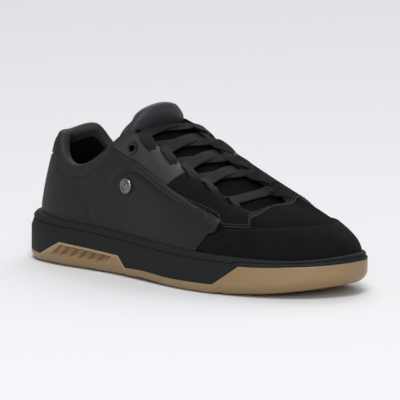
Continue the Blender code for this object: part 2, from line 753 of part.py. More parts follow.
def lace_strap(name, start, stop, lifts, collection):
    """One flat strap between two places over the throat, each given by s and the share across."""
    steps = np.linspace(-LACE_PAST_HOLE / LACE_SECTIONS, 1 + LACE_PAST_HOLE / LACE_SECTIONS, LACE_SECTIONS)
    start, stop = np.array(start), np.array(stop)
    line = np.array([lace_point(*(start + (stop - start) * t), lifts) for t in steps])
    e = 1e-3
    normals = []
    for t in steps:
        s, across = start + (stop - start) * t
        along_throat = lace_point(s + e, across, lifts) - lace_point(s - e, across, lifts)
        over_throat = lace_point(s, across + e, lifts) - lace_point(s, across - e, lifts)
        normals.append(np.cross(over_throat, along_throat))
    normal = np.array(normals)
    ahead = np.gradient(line, axis=0)
    ahead /= np.linalg.norm(ahead, axis=1, keepdims=True)
    normal *= np.sign(normal[:, 2:])
    normal -= ahead * np.sum(normal * ahead, axis=1, keepdims=True)
    normal /= np.linalg.norm(normal, axis=1, keepdims=True)
    side = np.cross(normal, ahead) * LACE_WIDTH / 2
    flat = np.stack([line - side, line + side], axis=1)
    lift = normal[:, None] * LACE_THICKNESS / 2
    bm = bmesh.new()
    for sheet in between(flat - lift, flat + lift):
        add_sheet(bm, sheet)
    return finish_mesh(name, bm, collection, "textile" if collection is PARTS else None)


def make_lace(holes):
    """The lace: a bar over the lowest holes, and above it a crossing between each two rows, joined."""
    spans = 2 * len(TONGUE_ROWS) + TONGUE_CROWN_POINTS - 1
    share = float(np.interp(holes[0][1], TONGUE_ROWS, np.arange(len(TONGUE_ROWS)))) / spans
    edge = (len(TONGUE_ROWS) - 1) / spans
    lowest = holes[-1][0]
    lace_strap("lace_bar", (lowest, share), (lowest, 1 - share), (BAR_OVER_PANEL, BAR_OVER_TONGUE), PARTS)
    lifts = (LACE_OVER_PANEL, LACE_OVER_TONGUE)
    straps = bpy.data.collections.new("Lace straps")
    CUTTERS.children.link(straps)
    lace = None
    for i in range(1, HOLE_COUNT - 1):
        low, high = holes[i][0], max(holes[i - 1][0], LACE_TOP / len(STATIONS))
        end = edge if i == 1 else share
        for side, start, stop in (("lateral", share, 1 - end), ("medial", 1 - share, end)):
            name, collection = (f"strap_{i}_{side}", straps) if lace else ("lace", PARTS)
            strap = lace_strap(name, (low, start), (high, stop), lifts, collection)
            lace = lace or strap
    modifier = lace.modifiers.new("join", "BOOLEAN")
    modifier.operation = "UNION"
    modifier.solver = "EXACT"
    modifier.operand_type = "COLLECTION"
    modifier.collection = straps


def turned(name, profile, at, axis, finish):
    """A turned piece standing on a point of the shoe with its axis along the surface normal."""
    bm = bmesh.new()
    ring = [bm.verts.new((radius * MILLIMETRE, 0, height * MILLIMETRE)) for radius, height in profile]
    closed = profile[0][0] > 0
    for i in range(len(ring) if closed else len(ring) - 1):
        bm.edges.new((ring[i], ring[(i + 1) % len(ring)]))
    mesh = bpy.data.meshes.new(name)
    bm.to_mesh(mesh)
    bm.free()
    mesh.materials.append(MATERIALS[finish])
    thing = bpy.data.objects.new(name, mesh)
    PARTS.objects.link(thing)
    thing.parent = ROOT
    thing.location = place(at)
    thing.rotation_euler = Vector(axis).to_track_quat("Z", "Y").to_euler()
    screw = thing.modifiers.new("turn", "SCREW")
    screw.steps = screw.render_steps = TURNED_STEPS
    screw.use_merge_vertices = True
    screw.merge_threshold = 0.00001
    screw.use_smooth_shade = True


def make_hardware(lateral_holes, medial_holes):
    """The metal ring in each top hole and the badge on the lateral quarter."""
    for name, (s, h) in (("eyelet_lateral", lateral_holes[0]), ("eyelet_medial", medial_holes[0])):
        turned(name, RING_PROFILE, upper_offset(s, h, GAP + PANEL), upper_slopes(s, h)[2], "steel")
    s, h = surface_place(BADGE_ALONG, BADGE_HEIGHT, -1)
    turned("badge", BADGE_PROFILE, upper_offset(s, h, 2 * GAP + PANEL), upper_slopes(s, h)[2], "steel")


def make_panels(bits):
    """The leather and suede panels that lie on the upper."""
    for name, side in (("lateral", -1), ("medial", 1)):
        back = column_range(QUARTER_STATIONS, side)
        throat = column_range(THROAT_STATIONS, side)
        panel("quarter_" + name, back, QUARTER_ROWS, QUARTER_OUTLINE, (side,), "leather")
        panel("eyestay_" + name, throat, THROAT_ROWS, EYESTAY_OUTLINE, (side,), "leather", bits[side])
        panel("saddle_" + name, throat, THROAT_ROWS, SADDLE_OUTLINE, (side,), "suede", bits[side])
        make_roll("roll_" + name, side)
    panel("mudguard", column_range(TOE_STATIONS), TOE_ROWS, MUDGUARD_OUTLINE, (-1, 1), "suede")
    panel("heel_tab", column_range(HEEL_STATIONS), HEEL_ROWS, HEEL_TAB_OUTLINE, (-1, 1), "leather")


def make_materials():
    for name, (red, green, blue, roughness, metallic) in COLOURS.items():
        material = bpy.data.materials.new(name)
        material.use_nodes = True
        shader = material.node_tree.nodes["Principled BSDF"]
        shader.inputs["Base Color"].default_value = (red, green, blue, 1.0)
        shader.inputs["Roughness"].default_value = roughness
        shader.inputs["Metallic"].default_value = metallic
        MATERIALS[name] = material


def main():
    make_materials()
    lateral_holes, medial_holes = lace_holes(-1), lace_holes(1)
    radii = [RING_HOLE_RADIUS] + [HOLE_RADIUS] * (HOLE_COUNT - 1)
    bits = {-1: drills("drills_lateral", lateral_holes, radii),
            1: drills("drills_medial", medial_holes, radii)}
    make_outsole()
    make_midsole()
    make_insole()
    make_upper(bits.values())
    make_tongue()
    make_panels(bits)
    make_lace(lateral_holes)
    make_hardware(lateral_holes, medial_holes)


for old in list(bpy.data.objects):
    bpy.data.objects.remove(old, do_unlink=True)
PARTS = new_collection("Skate sneaker")
CUTTERS = new_collection("Cutters")
ROOT = bpy.data.objects.new("sneaker_frame", None)
PARTS.objects.link(ROOT)
MATERIALS = {}
main()
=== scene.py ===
"""Looks of a low skate-style sneaker, right shoe, laid out as an add-on and run as a script.

Sizes are in millimetres from the back of the heel, +X to the toe, +Y to the medial side, +Z up.
place() turns them into metres about the middle of the sole's outline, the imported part's own frame.
"""
import math

import bmesh
import bpy
import numpy as np
from bpy.props import FloatProperty, FloatVectorProperty, PointerProperty
from mathutils import Matrix, Vector


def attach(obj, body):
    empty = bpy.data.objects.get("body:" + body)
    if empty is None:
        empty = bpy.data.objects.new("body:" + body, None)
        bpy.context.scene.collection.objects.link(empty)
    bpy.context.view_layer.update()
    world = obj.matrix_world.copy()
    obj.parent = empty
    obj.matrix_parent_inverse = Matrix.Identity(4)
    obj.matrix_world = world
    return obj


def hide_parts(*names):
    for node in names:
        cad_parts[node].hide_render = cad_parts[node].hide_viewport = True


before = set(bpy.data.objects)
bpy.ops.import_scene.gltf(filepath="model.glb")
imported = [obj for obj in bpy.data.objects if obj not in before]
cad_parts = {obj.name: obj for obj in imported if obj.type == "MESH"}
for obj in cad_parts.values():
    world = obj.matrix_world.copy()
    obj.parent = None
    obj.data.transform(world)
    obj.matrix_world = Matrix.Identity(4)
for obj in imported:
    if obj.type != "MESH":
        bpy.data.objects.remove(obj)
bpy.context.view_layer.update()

bl_info = {
    "name": "Skate sneaker",
    "version": (1, 0, 0),
    "blender": (4, 5, 0),
    "location": "View3D > Sidebar > Sneaker",
    "description": "Builds the looks of a low skate-style sneaker around its packed solids",
    "category": "Object",
}

# Driving dimensions, the same as the solids'
LENGTH = 300.0
BALL_WIDTH = 108.0
HEEL_HEIGHT = 100.0
WALL = 2.0
GAP = 0.3
PANEL = 1.3
SIDES = (("lateral", -1), ("medial", 1))
MILLIMETRE = 0.001
UV_UNIT = 0.01

# Sole
TOE_SPRING = 10.0
SPRING_START = 205.0
ARCH_RISE = 1.2
ARCH_MIDDLE = 142.0
ARCH_HALF_LENGTH = 34.0
GUM_FLOOR = 4.0
GUM_WALL = 2.8
EDGE_SOFTENING = 0.7
EDGE_RADIUS_LIMITS = (4.8, 8.0)
BED_HEEL = 18.0
BED_FOREFOOT = 11.0
BED_SLOPE = (60.0, 200.0)
INSOLE_THICKNESS = 4.5
BEAD_HEIGHT = 4.8
BEAD_SHARE = 0.46
SOLE_STEP = 2.2
SOLE_CLOSEST = 0.25
SOLE_TURN_COLUMNS = 60
TREAD_EDGE_ROWS = 8
GUM_WALL_ROWS = 26
TREAD_SPANS = 24
FLOOR_SPANS = 4
INSOLE_SPANS = 30
INSOLE_ROUNDING = 2.0
GUM_EDGE = (
    # along, height
    (0.0, 8.0),
    (30.0, 7.0),
    (54.0, 18.6),
    (116.0, 15.4),
    (124.0, 6.8),
    (217.0, 7.4),
    (238.0, 21.0),
    (272.0, 18.6),
    (300.0, 15.5),
)
LIP_PROFILE = (
    # inset as a share of the seat, drop below the lip as a share of the bead
    (0.10, 1.90),
    (0.19, 1.40),
    (0.24, 1.16),
    (0.35, 1.05),
    (0.36, 0.97),
    (0.25, 0.88),
    (0.23, 0.74),
    (0.26, 0.55),
    (0.34, 0.34),
    (0.46, 0.14),
    (0.60, 0.02),
    (0.80, 0.00),
    (1.00, 0.06),
)

# Pockets in each heel window of the gum: a frame around them, ribs between them
WINDOW = (30.0, 124.0)
WINDOW_FRAME = 2.4
WINDOW_STEP = 0.7
FRAME_SLOPE = (0.75, 1.3)
# Share of the frame's width given the paler gum: a painted highlight on the raised frame
FRAME_HIGHLIGHT_SHARE = 0.9
POCKET_FIRST = 54.0
POCKET_PITCH = 9.6
POCKET_COUNT = 6
POCKET_DEPTH = 2.4
POCKET_SLANT = 1.35
POCKET_MIDDLE = 12.0
POCKET_START = (-0.55, -0.4)
POCKET_STOP = (POCKET_COUNT - 0.6, POCKET_COUNT - 0.45)
POCKET_FADE = (7.0, 11.5)
RIB_SHARE = 0.2
TREAD_GROOVES = (26.0, 48.0, 70.0, 176.0, 198.0, 220.0, 242.0)
GROOVE_WIDTH = 3.0
GROOVE_DEPTH = 1.4
GROOVE_SLOPE = (0.35, 0.5)
GROOVE_COLUMNS = (-1.6, -1.3, -1.0, 1.0, 1.3, 1.6)
GROOVE_RUNOUT = 30.0

# Stations around the shoe, from the heel's back along the lateral side to the toe and back
STATIONS = (
    # name            along  across  lip   seat  top_along top_across top_rise lean  pad
    ("heel_back",     0.000,  0.000, 37.2, 9.6,   0.085,    0.000,   0.955,   0.76, 6.5),
    ("heel_lateral",  0.040, -0.250, 36.6, 9.2,   0.113,   -0.180,   0.940,   0.70, 6.5),
    ("counter_lat",   0.150, -0.370, 35.2, 7.6,   0.163,   -0.262,   0.770,   0.56, 6.0),
    ("ankle_lat",     0.267, -0.380, 33.6, 6.8,   0.247,   -0.300,   0.752,   0.50, 6.0),
    ("shank_lat",     0.383, -0.398, 32.0, 6.4,   0.333,   -0.292,   0.930,   0.40, 4.5),
    ("waist_lat",     0.500, -0.454, 30.6, 6.2,   0.397,   -0.262,   1.050,   0.32, 0.6),
    ("ball_lat",      0.633, -0.509, 29.2, 6.0,   0.500,   -0.230,   0.905,   0.30, 0.0),
    ("vamp_lat",      0.783, -0.472, 28.2, 5.8,   0.633,   -0.215,   0.700,   0.30, 0.0),
    ("corner_lat",    0.927, -0.287, 28.4, 5.6,   0.738,   -0.200,   0.562,   0.26, 0.0),
    ("toe",           1.000,  0.028, 31.5, 5.4,   0.754,    0.000,   0.582,   0.24, 0.0),
    ("corner_med",    0.967,  0.296, 30.0, 5.6,   0.738,    0.215,   0.590,   0.26, 0.0),
    ("vamp_med",      0.860,  0.454, 29.0, 5.8,   0.633,    0.232,   0.725,   0.30, 0.0),
    ("ball_med",      0.707,  0.491, 29.4, 6.0,   0.500,    0.250,   0.930,   0.30, 0.0),
    ("waist_med",     0.550,  0.426, 31.0, 6.2,   0.397,    0.280,   1.070,   0.32, 0.6),
    ("shank_med",     0.400,  0.352, 32.4, 6.4,   0.333,    0.300,   0.955,   0.40, 4.5),
    ("ankle_med",     0.273,  0.352, 33.8, 6.8,   0.247,    0.300,   0.790,   0.50, 6.0),
    ("counter_med",   0.150,  0.361, 35.2, 7.6,   0.163,    0.262,   0.830,   0.56, 6.0),
    ("heel_medial",   0.040,  0.250, 36.6, 9.2,   0.118,    0.180,   0.985,   0.70, 6.5),
)
STATION_COLUMNS = ("along", "across", "lip", "seat", "top_along", "top_across", "top_rise", "lean", "pad")
COUNT = len(STATIONS)
PAD_START = 0.48
PAD_FULL = 0.87

# Fine rows and columns of the upper
UPPER_COLUMNS = 300
UPPER_ROWS = 34
RIM_ROWS = 9
INNER_ROWS = 20
LINING_TOP = 0.70

# Padded collar: stations and shares of the upper's height, millimetres for its padding
COLLAR_END = 4.35
COLLAR_LEVEL = 3.2
COLLAR_LOW = 0.86
COLLAR_RISEN = 0.98
COLLAR_FADE = 0.6
COLLAR_COLUMNS = 220
COLLAR_ROWS = 12
COLLAR_RIM_ROWS = 14
COLLAR_INNER_ROWS = 16
COLLAR_LEATHER_ROWS = 2
COLLAR_FOOT = 0.3
COLLAR_END_SHARE = 0.35
COLLAR_OVER = 0.06
COLLAR_PUFF = 0.5
COLLAR_TUCK = 0.9
COLLAR_INSIDE = 0.35
COLLAR_CORE = 0.9

# Side-view lines of the panels: distance from the heel, then height, and the other way for SADDLE_FRONT.
# Their reach around the shoe is in stations, a lap or top in shares of the upper's height.
QUARTER_TOP = ((98, 120), (104, 91.0), (120, 85.5), (140, 77.4), (165, 67.0), (182, 60.4), (192, 59.2),
               (206, 55.6), (216, 51.6))
QUARTER_FRONT = ((195, 20), (200, 31), (208.0, 41.3), (213.6, 43.4), (215.4, 51.8))
QUARTER_LAP = 0.015
QUARTER_HEEL = ((-20, 77), (34.8, 81))
QUARTER_STATIONS = (0.03, 8.0)
EYESTAY_BOTTOM = ((104, 93.0), (120, 87.8), (140, 79.8), (162.0, 70.4), (176, 86))
EYESTAY_STATIONS = (4.0, 8.0)
SADDLE_REAR = ((163.0, 69.9), (177.5, 86))
SADDLE_BOTTOM = ((163.0, 69.9), (183, 62.2), (192, 60.2), (206, 56.6), (216, 52.4), (218, 47.6),
                 (320, 47.6))
SADDLE_FRONT = ((40.0, 246.0), (47.6, 238.0), (60.0, 227.0), (90.0, 200.0))
SADDLE_STATIONS = (5.5, 9.0)
MUDGUARD_TOP = ((195.6, 20), (200.8, 31), (208.8, 40.8), (215.4, 43.0), (219, 46.0), (223, 46.8),
                (320, 49.0))
MUDGUARD_STATIONS = (5.5, 12.5)
HEEL_TAB_BOTTOM = ((-20, 78), (34, 82))
HEEL_TAB_TOP = 0.965
HEEL_TAB_STATIONS = (-1.25, 1.25)
HEEL_TAB_LAP = 0.05

# Cut edges of the panels: distances from the edge and shares of the thickness, then seams and mesh steps
EDGE_ROWS = (0.0, 0.14, 0.42, 0.9, 1.7, 2.2, 2.7)
EDGE_RISE = (0.0, 0.48, 0.84, 1.0, 1.0, 0.84, 1.0)
STITCH_ROW = 5
# Rows at each raw cut edge in a paler finish: the lighter raw edge, and a painted highlight along its
# rounding
RAW_AND_HIGHLIT_ROWS = 2
PALE_SEAMS = (("saddle_lateral", "low"), ("saddle_medial", "low"))
DARK_SEAMS = (("saddle_lateral", "high"), ("saddle_medial", "high"), ("mudguard", "high"),
              ("heel_tab", "low"), ("eyestay_lateral", "high"), ("eyestay_medial", "high"))
THREADS = (("pale_thread", "Pale thread", PALE_SEAMS), ("dark_thread", "Dark thread", DARK_SEAMS))
PANEL_ROWS = 14
PANEL_SAMPLES = 25
PANEL_COLUMN_SAMPLES = 2001
PANEL_FULL = 9.0
PANEL_NARROW_SHARE = 0.25
PANEL_FOOT = 0.1
PANEL_UNDERSIDE = 0.02
PANEL_LEAST = 2e-3
ROW_EVENING = 8
EVENING_LIMITS = (0.85, 1.15)
EVENING_POWER = 4
CREASED_ROWS = 44
PANEL_STEP = 1.4

# Creases of the quarters: width, then along, height and depth of points on the trough or ridge
MEDIAL_CREASES = (
    (1.4, ((75.5, 57.0, 0.0), (78.5, 48.0, -0.8), (81.0, 41.0, -0.9), (83.5, 35.0, -0.3))),
    (2.4, ((190.0, 41.5, 0.0), (197.0, 40.0, -0.5), (205.0, 38.5, -0.8))),
)
LATERAL_CREASES = MEDIAL_CREASES + (
    (1.9, ((106.0, 66.0, 0.0), (109.5, 71.0, -0.6), (114.0, 75.0, -1.1), (119.0, 77.8, -1.25),
           (125.0, 79.0, -1.25), (131.0, 78.4, -1.1), (138.0, 75.4, -0.8), (150.0, 70.2, -0.4),
           (170.0, 62.0, 0.0))),
    (2.4, ((103.0, 69.0, 0.0), (107.0, 74.4, 1.2), (112.5, 78.6, 2.1), (119.0, 81.4, 2.4),
           (126.0, 82.4, 2.2), (134.0, 81.2, 1.2))),
    (9.0, ((58.0, 70.0, 0.0), (70.0, 64.0, -0.6), (84.0, 58.0, 0.0))),
)

# Roll along the front edge of each quarter
ROLL_LINE = ((104.0, 91.5), (120.0, 86.5), (140.0, 78.6), (165.0, 68.2), (190.0, 58.4), (206.0, 52.9))
ROLL_WIDTH = 9.0
ROLL_HEIGHT = 3.7
# start and stop from the heel, then the share of height that is there before or gone after
ROLL_RISE = (108.0, 134.0, 0.45)
ROLL_FALL = (168.0, 198.0, 0.5)
ROLL_REACH = (0.2, 0.42)
ROLL_TAPER = 0.5
ROLL_TAPER_RUN = (104.0, 140.0)
ROLL_SECTIONS = 90
ROLL_SIDES = 14
ROLL_ROUNDING = 4.0
ROLL_END_SHARE = 0.5
ROLL_SPREAD = 0.25
ROLL_FULLNESS = 0.7
# height, pace and start of each wave in the roll's thickness
ROLL_WAVES = ((0.02, 0.31, 0.0), (0.015, 0.53, 1.0))

# Lace holes and hardware
HOLE_COUNT = 6
HOLE_FIRST = 124.0
HOLE_PITCH = 19.1
HOLE_TO_EDGE = 14.0
HOLE_STATIONS = (4.6, 8.46)
RING_HOLE_RADIUS = 2.9
DRILL_DEPTH = 20.0
RING_PROFILE = ((2.3, 0.5), (2.45, 1.0), (2.9, 1.3), (3.6, 1.35), (4.3, 1.2), (4.75, 0.85), (4.9, 0.3),
                (4.9, 0.0), (3.0, -0.1), (2.9, -3.2), (2.3, -3.2))
BADGE_PROFILE = ((0.0, 2.45), (1.2, 2.4), (1.9, 2.15), (2.2, 1.75), (2.6, 1.7), (3.0, 1.95), (3.5, 2.15),
                 (4.0, 1.95), (4.3, 1.75), (4.7, 1.75), (5.0, 2.0), (5.5, 2.0), (5.95, 1.6), (6.1, 1.1),
                 (6.1, -0.3), (0.0, -0.3))
BADGE_ALONG = 121.0
BADGE_HEIGHT = 67.0
BADGE_OVER = 0.2
TURNED_STEPS = 48

# Tongue: reach in stations, rows as shares of the upper's height
TONGUE_FRONT = 8.2
TONGUE_BACK = 4.9
TONGUE_SECTIONS = 12
TONGUE_GAP = 0.8
TONGUE_ROWS = (0.79, 0.87, 0.94, 1.0)
TONGUE_NARROWING = (5.0, 6.4)
TONGUE_NARROWEST = 0.2
TONGUE_CROWN_POINTS = 5
TONGUE_CROWN = 0.3
TONGUE_CROWN_LEAN = 0.3
TONGUE_THICKNESS = (4.0, 8.5)
TONGUE_FLANK_SHARE = 0.3
TONGUE_PUFF = 3.5
TONGUE_TURN = 8
TONGUE_TOP_STEPS = (0.25, 0.55, 0.82, 1.0)
TONGUE_ROUNDING = (1.0, 0.97, 0.86, 0.58)
TONGUE_TOP_EDGE = (
    # along, across from the throat's middle, height; from the flank up to the middle
    (100.0, 20.0, 88.0),
    (97.5, 23.0, 96.5),
    (104.5, 26.0, 105.0),
    (113.0, 28.0, 111.5),
    (119.5, 24.0, 117.2),
    (124.0, 14.0, 122.3),
    (126.0, 0.0, 124.4),
)
TONGUE_FINENESS = 5
TONGUE_RIM_ROWS = 5
TONGUE_SIDE_ROWS = 4
TONGUE_PUFF_LEAD = 3
TONGUE_PUFF_LEAN = 0.8
TONGUE_PUFF_WIDTH = 0.5

# Lace: heights of its middle over a sheet across the throat, and shares of a stretch's length or of the sheet
LACE_STATIONS = (4.4, 9.0)
LACE_SHEET_ROWS = 70
LACE_SECTIONS = 60
LACE_SIDES = 16
LACE_ROWS = (0.66, 0.75, 0.84, 0.93, 1.0)
LACE_EDGE = (len(LACE_ROWS) - 1) / (2 * len(LACE_ROWS) + TONGUE_CROWN_POINTS - 1)
LACE_IN_HOLE = -0.4
LACE_ON_PANEL = 2.6
LACE_ON_TONGUE = -1.0
LACE_CROSSING = 1.5
LACE_UNDER_PANEL = -2.4
LACE_TAUTNESS = 6
LACE_OVER_EDGE = (0.9, 1.5)
LACE_BELOW_EDGE = (1.0, 1.6)
LACE_CROSSING_WIDTH = 0.16
LACE_OUT_OF_HOLE = 0.045
LACE_GATHERED = 0.6
LACE_GATHER_RUN = (0.01, 0.12)
LACE_FLATNESS = (0.5, 0.8)

# Camera, from the photo's perspective: degrees, and metres
CAMERA_AZIMUTH = 41.0
CAMERA_ELEVATION = 8.6
CAMERA_DISTANCE = 2.0
CAMERA_TARGET = (0.0052, 0.0055, 0.0553)
CAMERA_LENS = 244.0

# Floor and light, in metres and watts
FLOOR_REACH = 9.0
SKY = "#f2f3f5"
SKY_STRENGTH = 0.36
LIGHT_AIM = (0.0, 0.0, 0.05)
LIGHTS = (
    # name, place, size, power
    ("Key", (1.7, -2.0, 4.6), 2.2, 162.0),
    ("Fill", (2.7, -2.7, 1.6), 1.5, 46.0),
    ("Top", (-2.4, 3.8, 5.6), 6.0, 240.0),
)


def linear(code):
    """Linear colour of an sRGB hex value."""
    parts = [int(code[i:i + 2], 16) / 255 for i in (1, 3, 5)]
    return tuple(p / 12.92 if p <= 0.04045 else ((p + 0.055) / 1.055) ** 2.4 for p in parts)


# Form of the shoe

def blend(first, last, first_slope, last_slope, t):
    """A smooth cubic step from one value to another that leaves and arrives at given slopes."""
    return (first * (1 + 2 * t) * (1 - t) ** 2 + first_slope * t * (1 - t) ** 2
            + last * t * t * (3 - 2 * t) - last_slope * t * t * (1 - t))


def run_length(points):
    """Distances along the first axis of a line or grid of points, from its start."""
    steps = np.linalg.norm(np.diff(points, axis=0), axis=-1)
    return np.concatenate([np.zeros_like(steps[:1]), np.cumsum(steps, axis=0)])


def ring_spline(values):
    """A closed smooth curve through one value for each station; s runs from 0 to 1 around the shoe."""
    y = np.asarray(values, float)
    count = len(y)
    matrix = np.zeros((count, count))
    for i in range(count):
        matrix[i, i - 1] = 1
        matrix[i, i] = 4
        matrix[i, (i + 1) % count] = 1
    slope = np.linalg.solve(matrix, 3 * (np.roll(y, -1) - np.roll(y, 1)))

    def at(s):
        u = (np.asarray(s, float) % 1) * count
        i = np.floor(u).astype(int) % count
        j = (i + 1) % count
        return blend(y[i], y[j], slope[i], slope[j], u - np.floor(u))
    return at


def station_curves():
    """A curve around the shoe for each column of the station table, in millimetres."""
    scale = {"along": LENGTH, "across": BALL_WIDTH, "top_along": LENGTH,
             "top_across": BALL_WIDTH, "top_rise": HEEL_HEIGHT}
    curves = {}
    for i, column in enumerate(STATION_COLUMNS):
        curves[column] = ring_spline([row[i + 1] * scale.get(column, 1.0) for row in STATIONS])
    return curves


CURVE = station_curves()
AROUND = np.linspace(0, 1, 4001)
EDGE_X, EDGE_Y = CURVE["along"](AROUND), CURVE["across"](AROUND)
CENTRE = np.array([(EDGE_X.max() + EDGE_X.min()) / 2, (EDGE_Y.max() + EDGE_Y.min()) / 2, 0.0])


def place(points):
    """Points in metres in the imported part's frame."""
    return (np.asarray(points, float) - CENTRE) * MILLIMETRE


def smooth_step(low, high, x):
    """A soft step from 0 at the low end to 1 at the high end."""
    t = np.clip((np.asarray(x, float) - low) / (high - low), 0, 1)
    return t * t * (3 - 2 * t)


def ground(x):
    """Height of the sole's underside: flat at heel and ball, lifted at the arch and the toe."""
    spring = TOE_SPRING * np.clip((x - SPRING_START) / (LENGTH - SPRING_START), 0, None) ** 2
    arch = np.clip(1 - ((x - ARCH_MIDDLE) / ARCH_HALF_LENGTH) ** 2, 0, None) ** 2
    return spring + ARCH_RISE * arch


def bed(x):
    """Height of the cupsole's inside over the ground line."""
    return BED_HEEL + (BED_FOREFOOT - BED_HEEL) * smooth_step(*BED_SLOPE, x)


def outline(s, inset):
    """The sole's outline seen from above, moved in by inset along its own normal."""
    e = 1e-4
    across = CURVE["along"](s + e) - CURVE["along"](s - e)
    along = CURVE["across"](s + e) - CURVE["across"](s - e)
    size = np.hypot(across, along)
    return CURVE["along"](s) - inset * along / size, CURVE["across"](s) + inset * across / size


def sole_point(s, inset, height):
    """A point of the sole: inset from the outline, height over the ground line."""
    x, y = outline(s, inset)
    return np.stack([x, y, ground(x) + height], -1)


def lip_height(s):
    """Height of the cupsole's rim over the ground line."""
    return CURVE["lip"](s) - ground(outline(s, 0.0)[0])


def gum_top(s):
    """Height of the gum's upper edge over the ground line."""
    along, height = zip(*GUM_EDGE)
    return np.interp(outline(s, 0.0)[0], along, height)


def upper_point(s, h):
    """A point of the upper's outer face: s around the shoe, h from the lip 0 to the top edge 1."""
    s, h = np.broadcast_arrays(np.asarray(s, float), np.asarray(h, float))
    foot = sole_point(s, CURVE["seat"](s) + GAP, lip_height(s))
    top = np.stack([CURVE["top_along"](s), CURVE["top_across"](s), CURVE["top_rise"](s)], -1)
    inward = 1 - np.cos(h * math.pi / 2)
    arch = np.sin(h * math.pi / 2)
    lean = CURVE["lean"](s)
    rise = (1 - lean) * arch + lean * inward
    point = foot + (top - foot) * inward[..., None]
    point[..., 2] = foot[..., 2] + (top - foot)[..., 2] * rise
    return point


def upper_slopes(s, h):
    """Direction up the upper at a point, and the outward normal."""
    e = 1e-3
    around = upper_point(s + e, h) - upper_point(s - e, h)
    high, low = np.minimum(np.asarray(h) + e, 1), np.maximum(np.asarray(h) - e, 0)
    up = upper_point(s, high) - upper_point(s, low)
    normal = np.cross(around, up)
    return (up / np.linalg.norm(up, axis=-1, keepdims=True),
            normal / np.linalg.norm(normal, axis=-1, keepdims=True))


def upper_offset(s, h, distance):
    """A point at a distance outside the upper's outer face."""
    s, h = np.broadcast_arrays(np.asarray(s, float), np.asarray(h, float))
    return upper_point(s, h) + upper_slopes(s, h)[1] * np.asarray(distance)[..., None]


def wall_thickness(s, h):
    """Thickness of the upper, which grows to the padding of the collar."""
    return WALL + CURVE["pad"](s) * smooth_step(PAD_START, PAD_FULL, h)


def bisect(function, low, high, target):
    """Where a rising or falling function of one number reaches the target."""
    rising = function(high) > function(low)
    for _ in range(40):
        middle = (low + high) / 2
        if (function(middle) < target) == rising:
            low = middle
        else:
            high = middle
    return (low + high) / 2


def over(line):
    """Tests which points lie above a side-view line."""
    along, height = np.array(line, float).T
    return lambda p: p[..., 2] > np.interp(p[..., 0], along, height)


def behind(line):
    """Tests which points lie nearer the heel than a side-view line of heights and distances."""
    height, along = np.array(line, float).T
    return lambda p: p[..., 0] < np.interp(p[..., 2], height, along)


def crossing(s, test):
    """Height parameters at which the columns enter the region that a test describes."""
    low, high = np.zeros_like(s), np.ones_like(s)
    for _ in range(30):
        middle = (low + high) / 2
        inside = test(upper_point(s, middle))
        high = np.where(inside, middle, high)
        low = np.where(inside, low, middle)
    return high


def surface_place(along, height, side):
    """Parameters of the upper's point at a distance from the heel and a height, on one side."""
    s = np.linspace(0.0, 0.5, 241) if side < 0 else np.linspace(0.5, 1.0, 241)
    h = crossing(s, lambda p: p[..., 2] > height)
    points = upper_point(s, h)
    best = int(np.argmin(np.abs(points[:, 0] - along) + np.abs(points[:, 2] - height)))
    return s[best], h[best]


def below_edge(s, distance):
    """The height parameter at a distance over the surface below the top edge."""
    h = np.linspace(1.0, 0.4, 121)
    return float(np.interp(distance, run_length(upper_point(s, h)), h))


def lace_holes(side):
    """Parameters of the lace holes on one side, from the top one down."""
    low, high = (station / COUNT for station in HOLE_STATIONS)
    if side > 0:
        low, high = 1 - low, 1 - high
    holes = []
    for i in range(HOLE_COUNT):
        target = HOLE_FIRST + i * HOLE_PITCH
        s = bisect(lambda t: upper_point(t, below_edge(t, HOLE_TO_EDGE))[0], low, high, target)
        holes.append((s, below_edge(s, HOLE_TO_EDGE)))
    return holes


# Meshes and pieces

def add_grid(bm, points, uv=None, finish=None):
    """Faces through rows and columns of points; finish gives a face's material slot by row and column."""
    rows, columns = points.shape[:2]
    made = bmesh.ops.create_grid(bm, x_segments=columns - 1, y_segments=rows - 1, size=1.0)
    layer = bm.loops.layers.uv.verify()
    spots = place(points)
    faces = {}
    for vert in made["verts"]:
        column = round((vert.co.x + 1) / 2 * (columns - 1))
        row = round((vert.co.y + 1) / 2 * (rows - 1))
        vert.co = spots[row, column]
        for loop in vert.link_loops:
            if uv is not None:
                loop[layer].uv = uv[row, column]
            at = faces.setdefault(loop.face, [rows, columns])
            at[0], at[1] = min(at[0], row), min(at[1], column)
    if finish:
        for face, (row, column) in faces.items():
            face.material_index = finish(row, column)


def surface_uv(points):
    """Texture places over a grid of points, run along its rows and columns; one unit is 100 mm."""
    return np.stack([run_length(np.swapaxes(points, 0, 1)).T, run_length(points)], -1) * UV_UNIT


def add_object(name, bm, finishes=()):
    """An object in the scene from a bmesh, which it uses up."""
    mesh = bpy.data.meshes.new(name)
    bm.to_mesh(mesh)
    bm.free()
    for finish in finishes:
        mesh.materials.append(bpy.data.materials[finish])
    thing = bpy.data.objects.new(name, mesh)
    bpy.context.scene.collection.objects.link(thing)
    return thing


def piece(name, bm, finishes, node=None, sharp=None):
    """A finished piece: seams closed, faces outwards, riding on the shoe's one body."""
    bmesh.ops.remove_doubles(bm, verts=bm.verts, dist=2e-6)
    bmesh.ops.dissolve_degenerate(bm, edges=bm.edges, dist=1e-7)
    bmesh.ops.recalc_face_normals(bm, faces=bm.faces)
    thing = add_object(name, bm, finishes)
    thing.data.shade_smooth()
    if sharp:
        thing.data.set_sharp_from_angle(angle=math.radians(sharp))
    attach(thing, "root")
    if node:
        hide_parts(node)
    return thing


def between(bm, inner, outer, uv=None, finish=None, lining=None):
    """A closed shell between two grids of the same size."""
    add_grid(bm, outer, uv, finish)
    add_grid(bm, inner, uv, lining)
    for edge in (np.s_[0], np.s_[-1]):
        add_grid(bm, np.stack([inner[edge], outer[edge]]))
        add_grid(bm, np.stack([inner[:, edge], outer[:, edge]]))


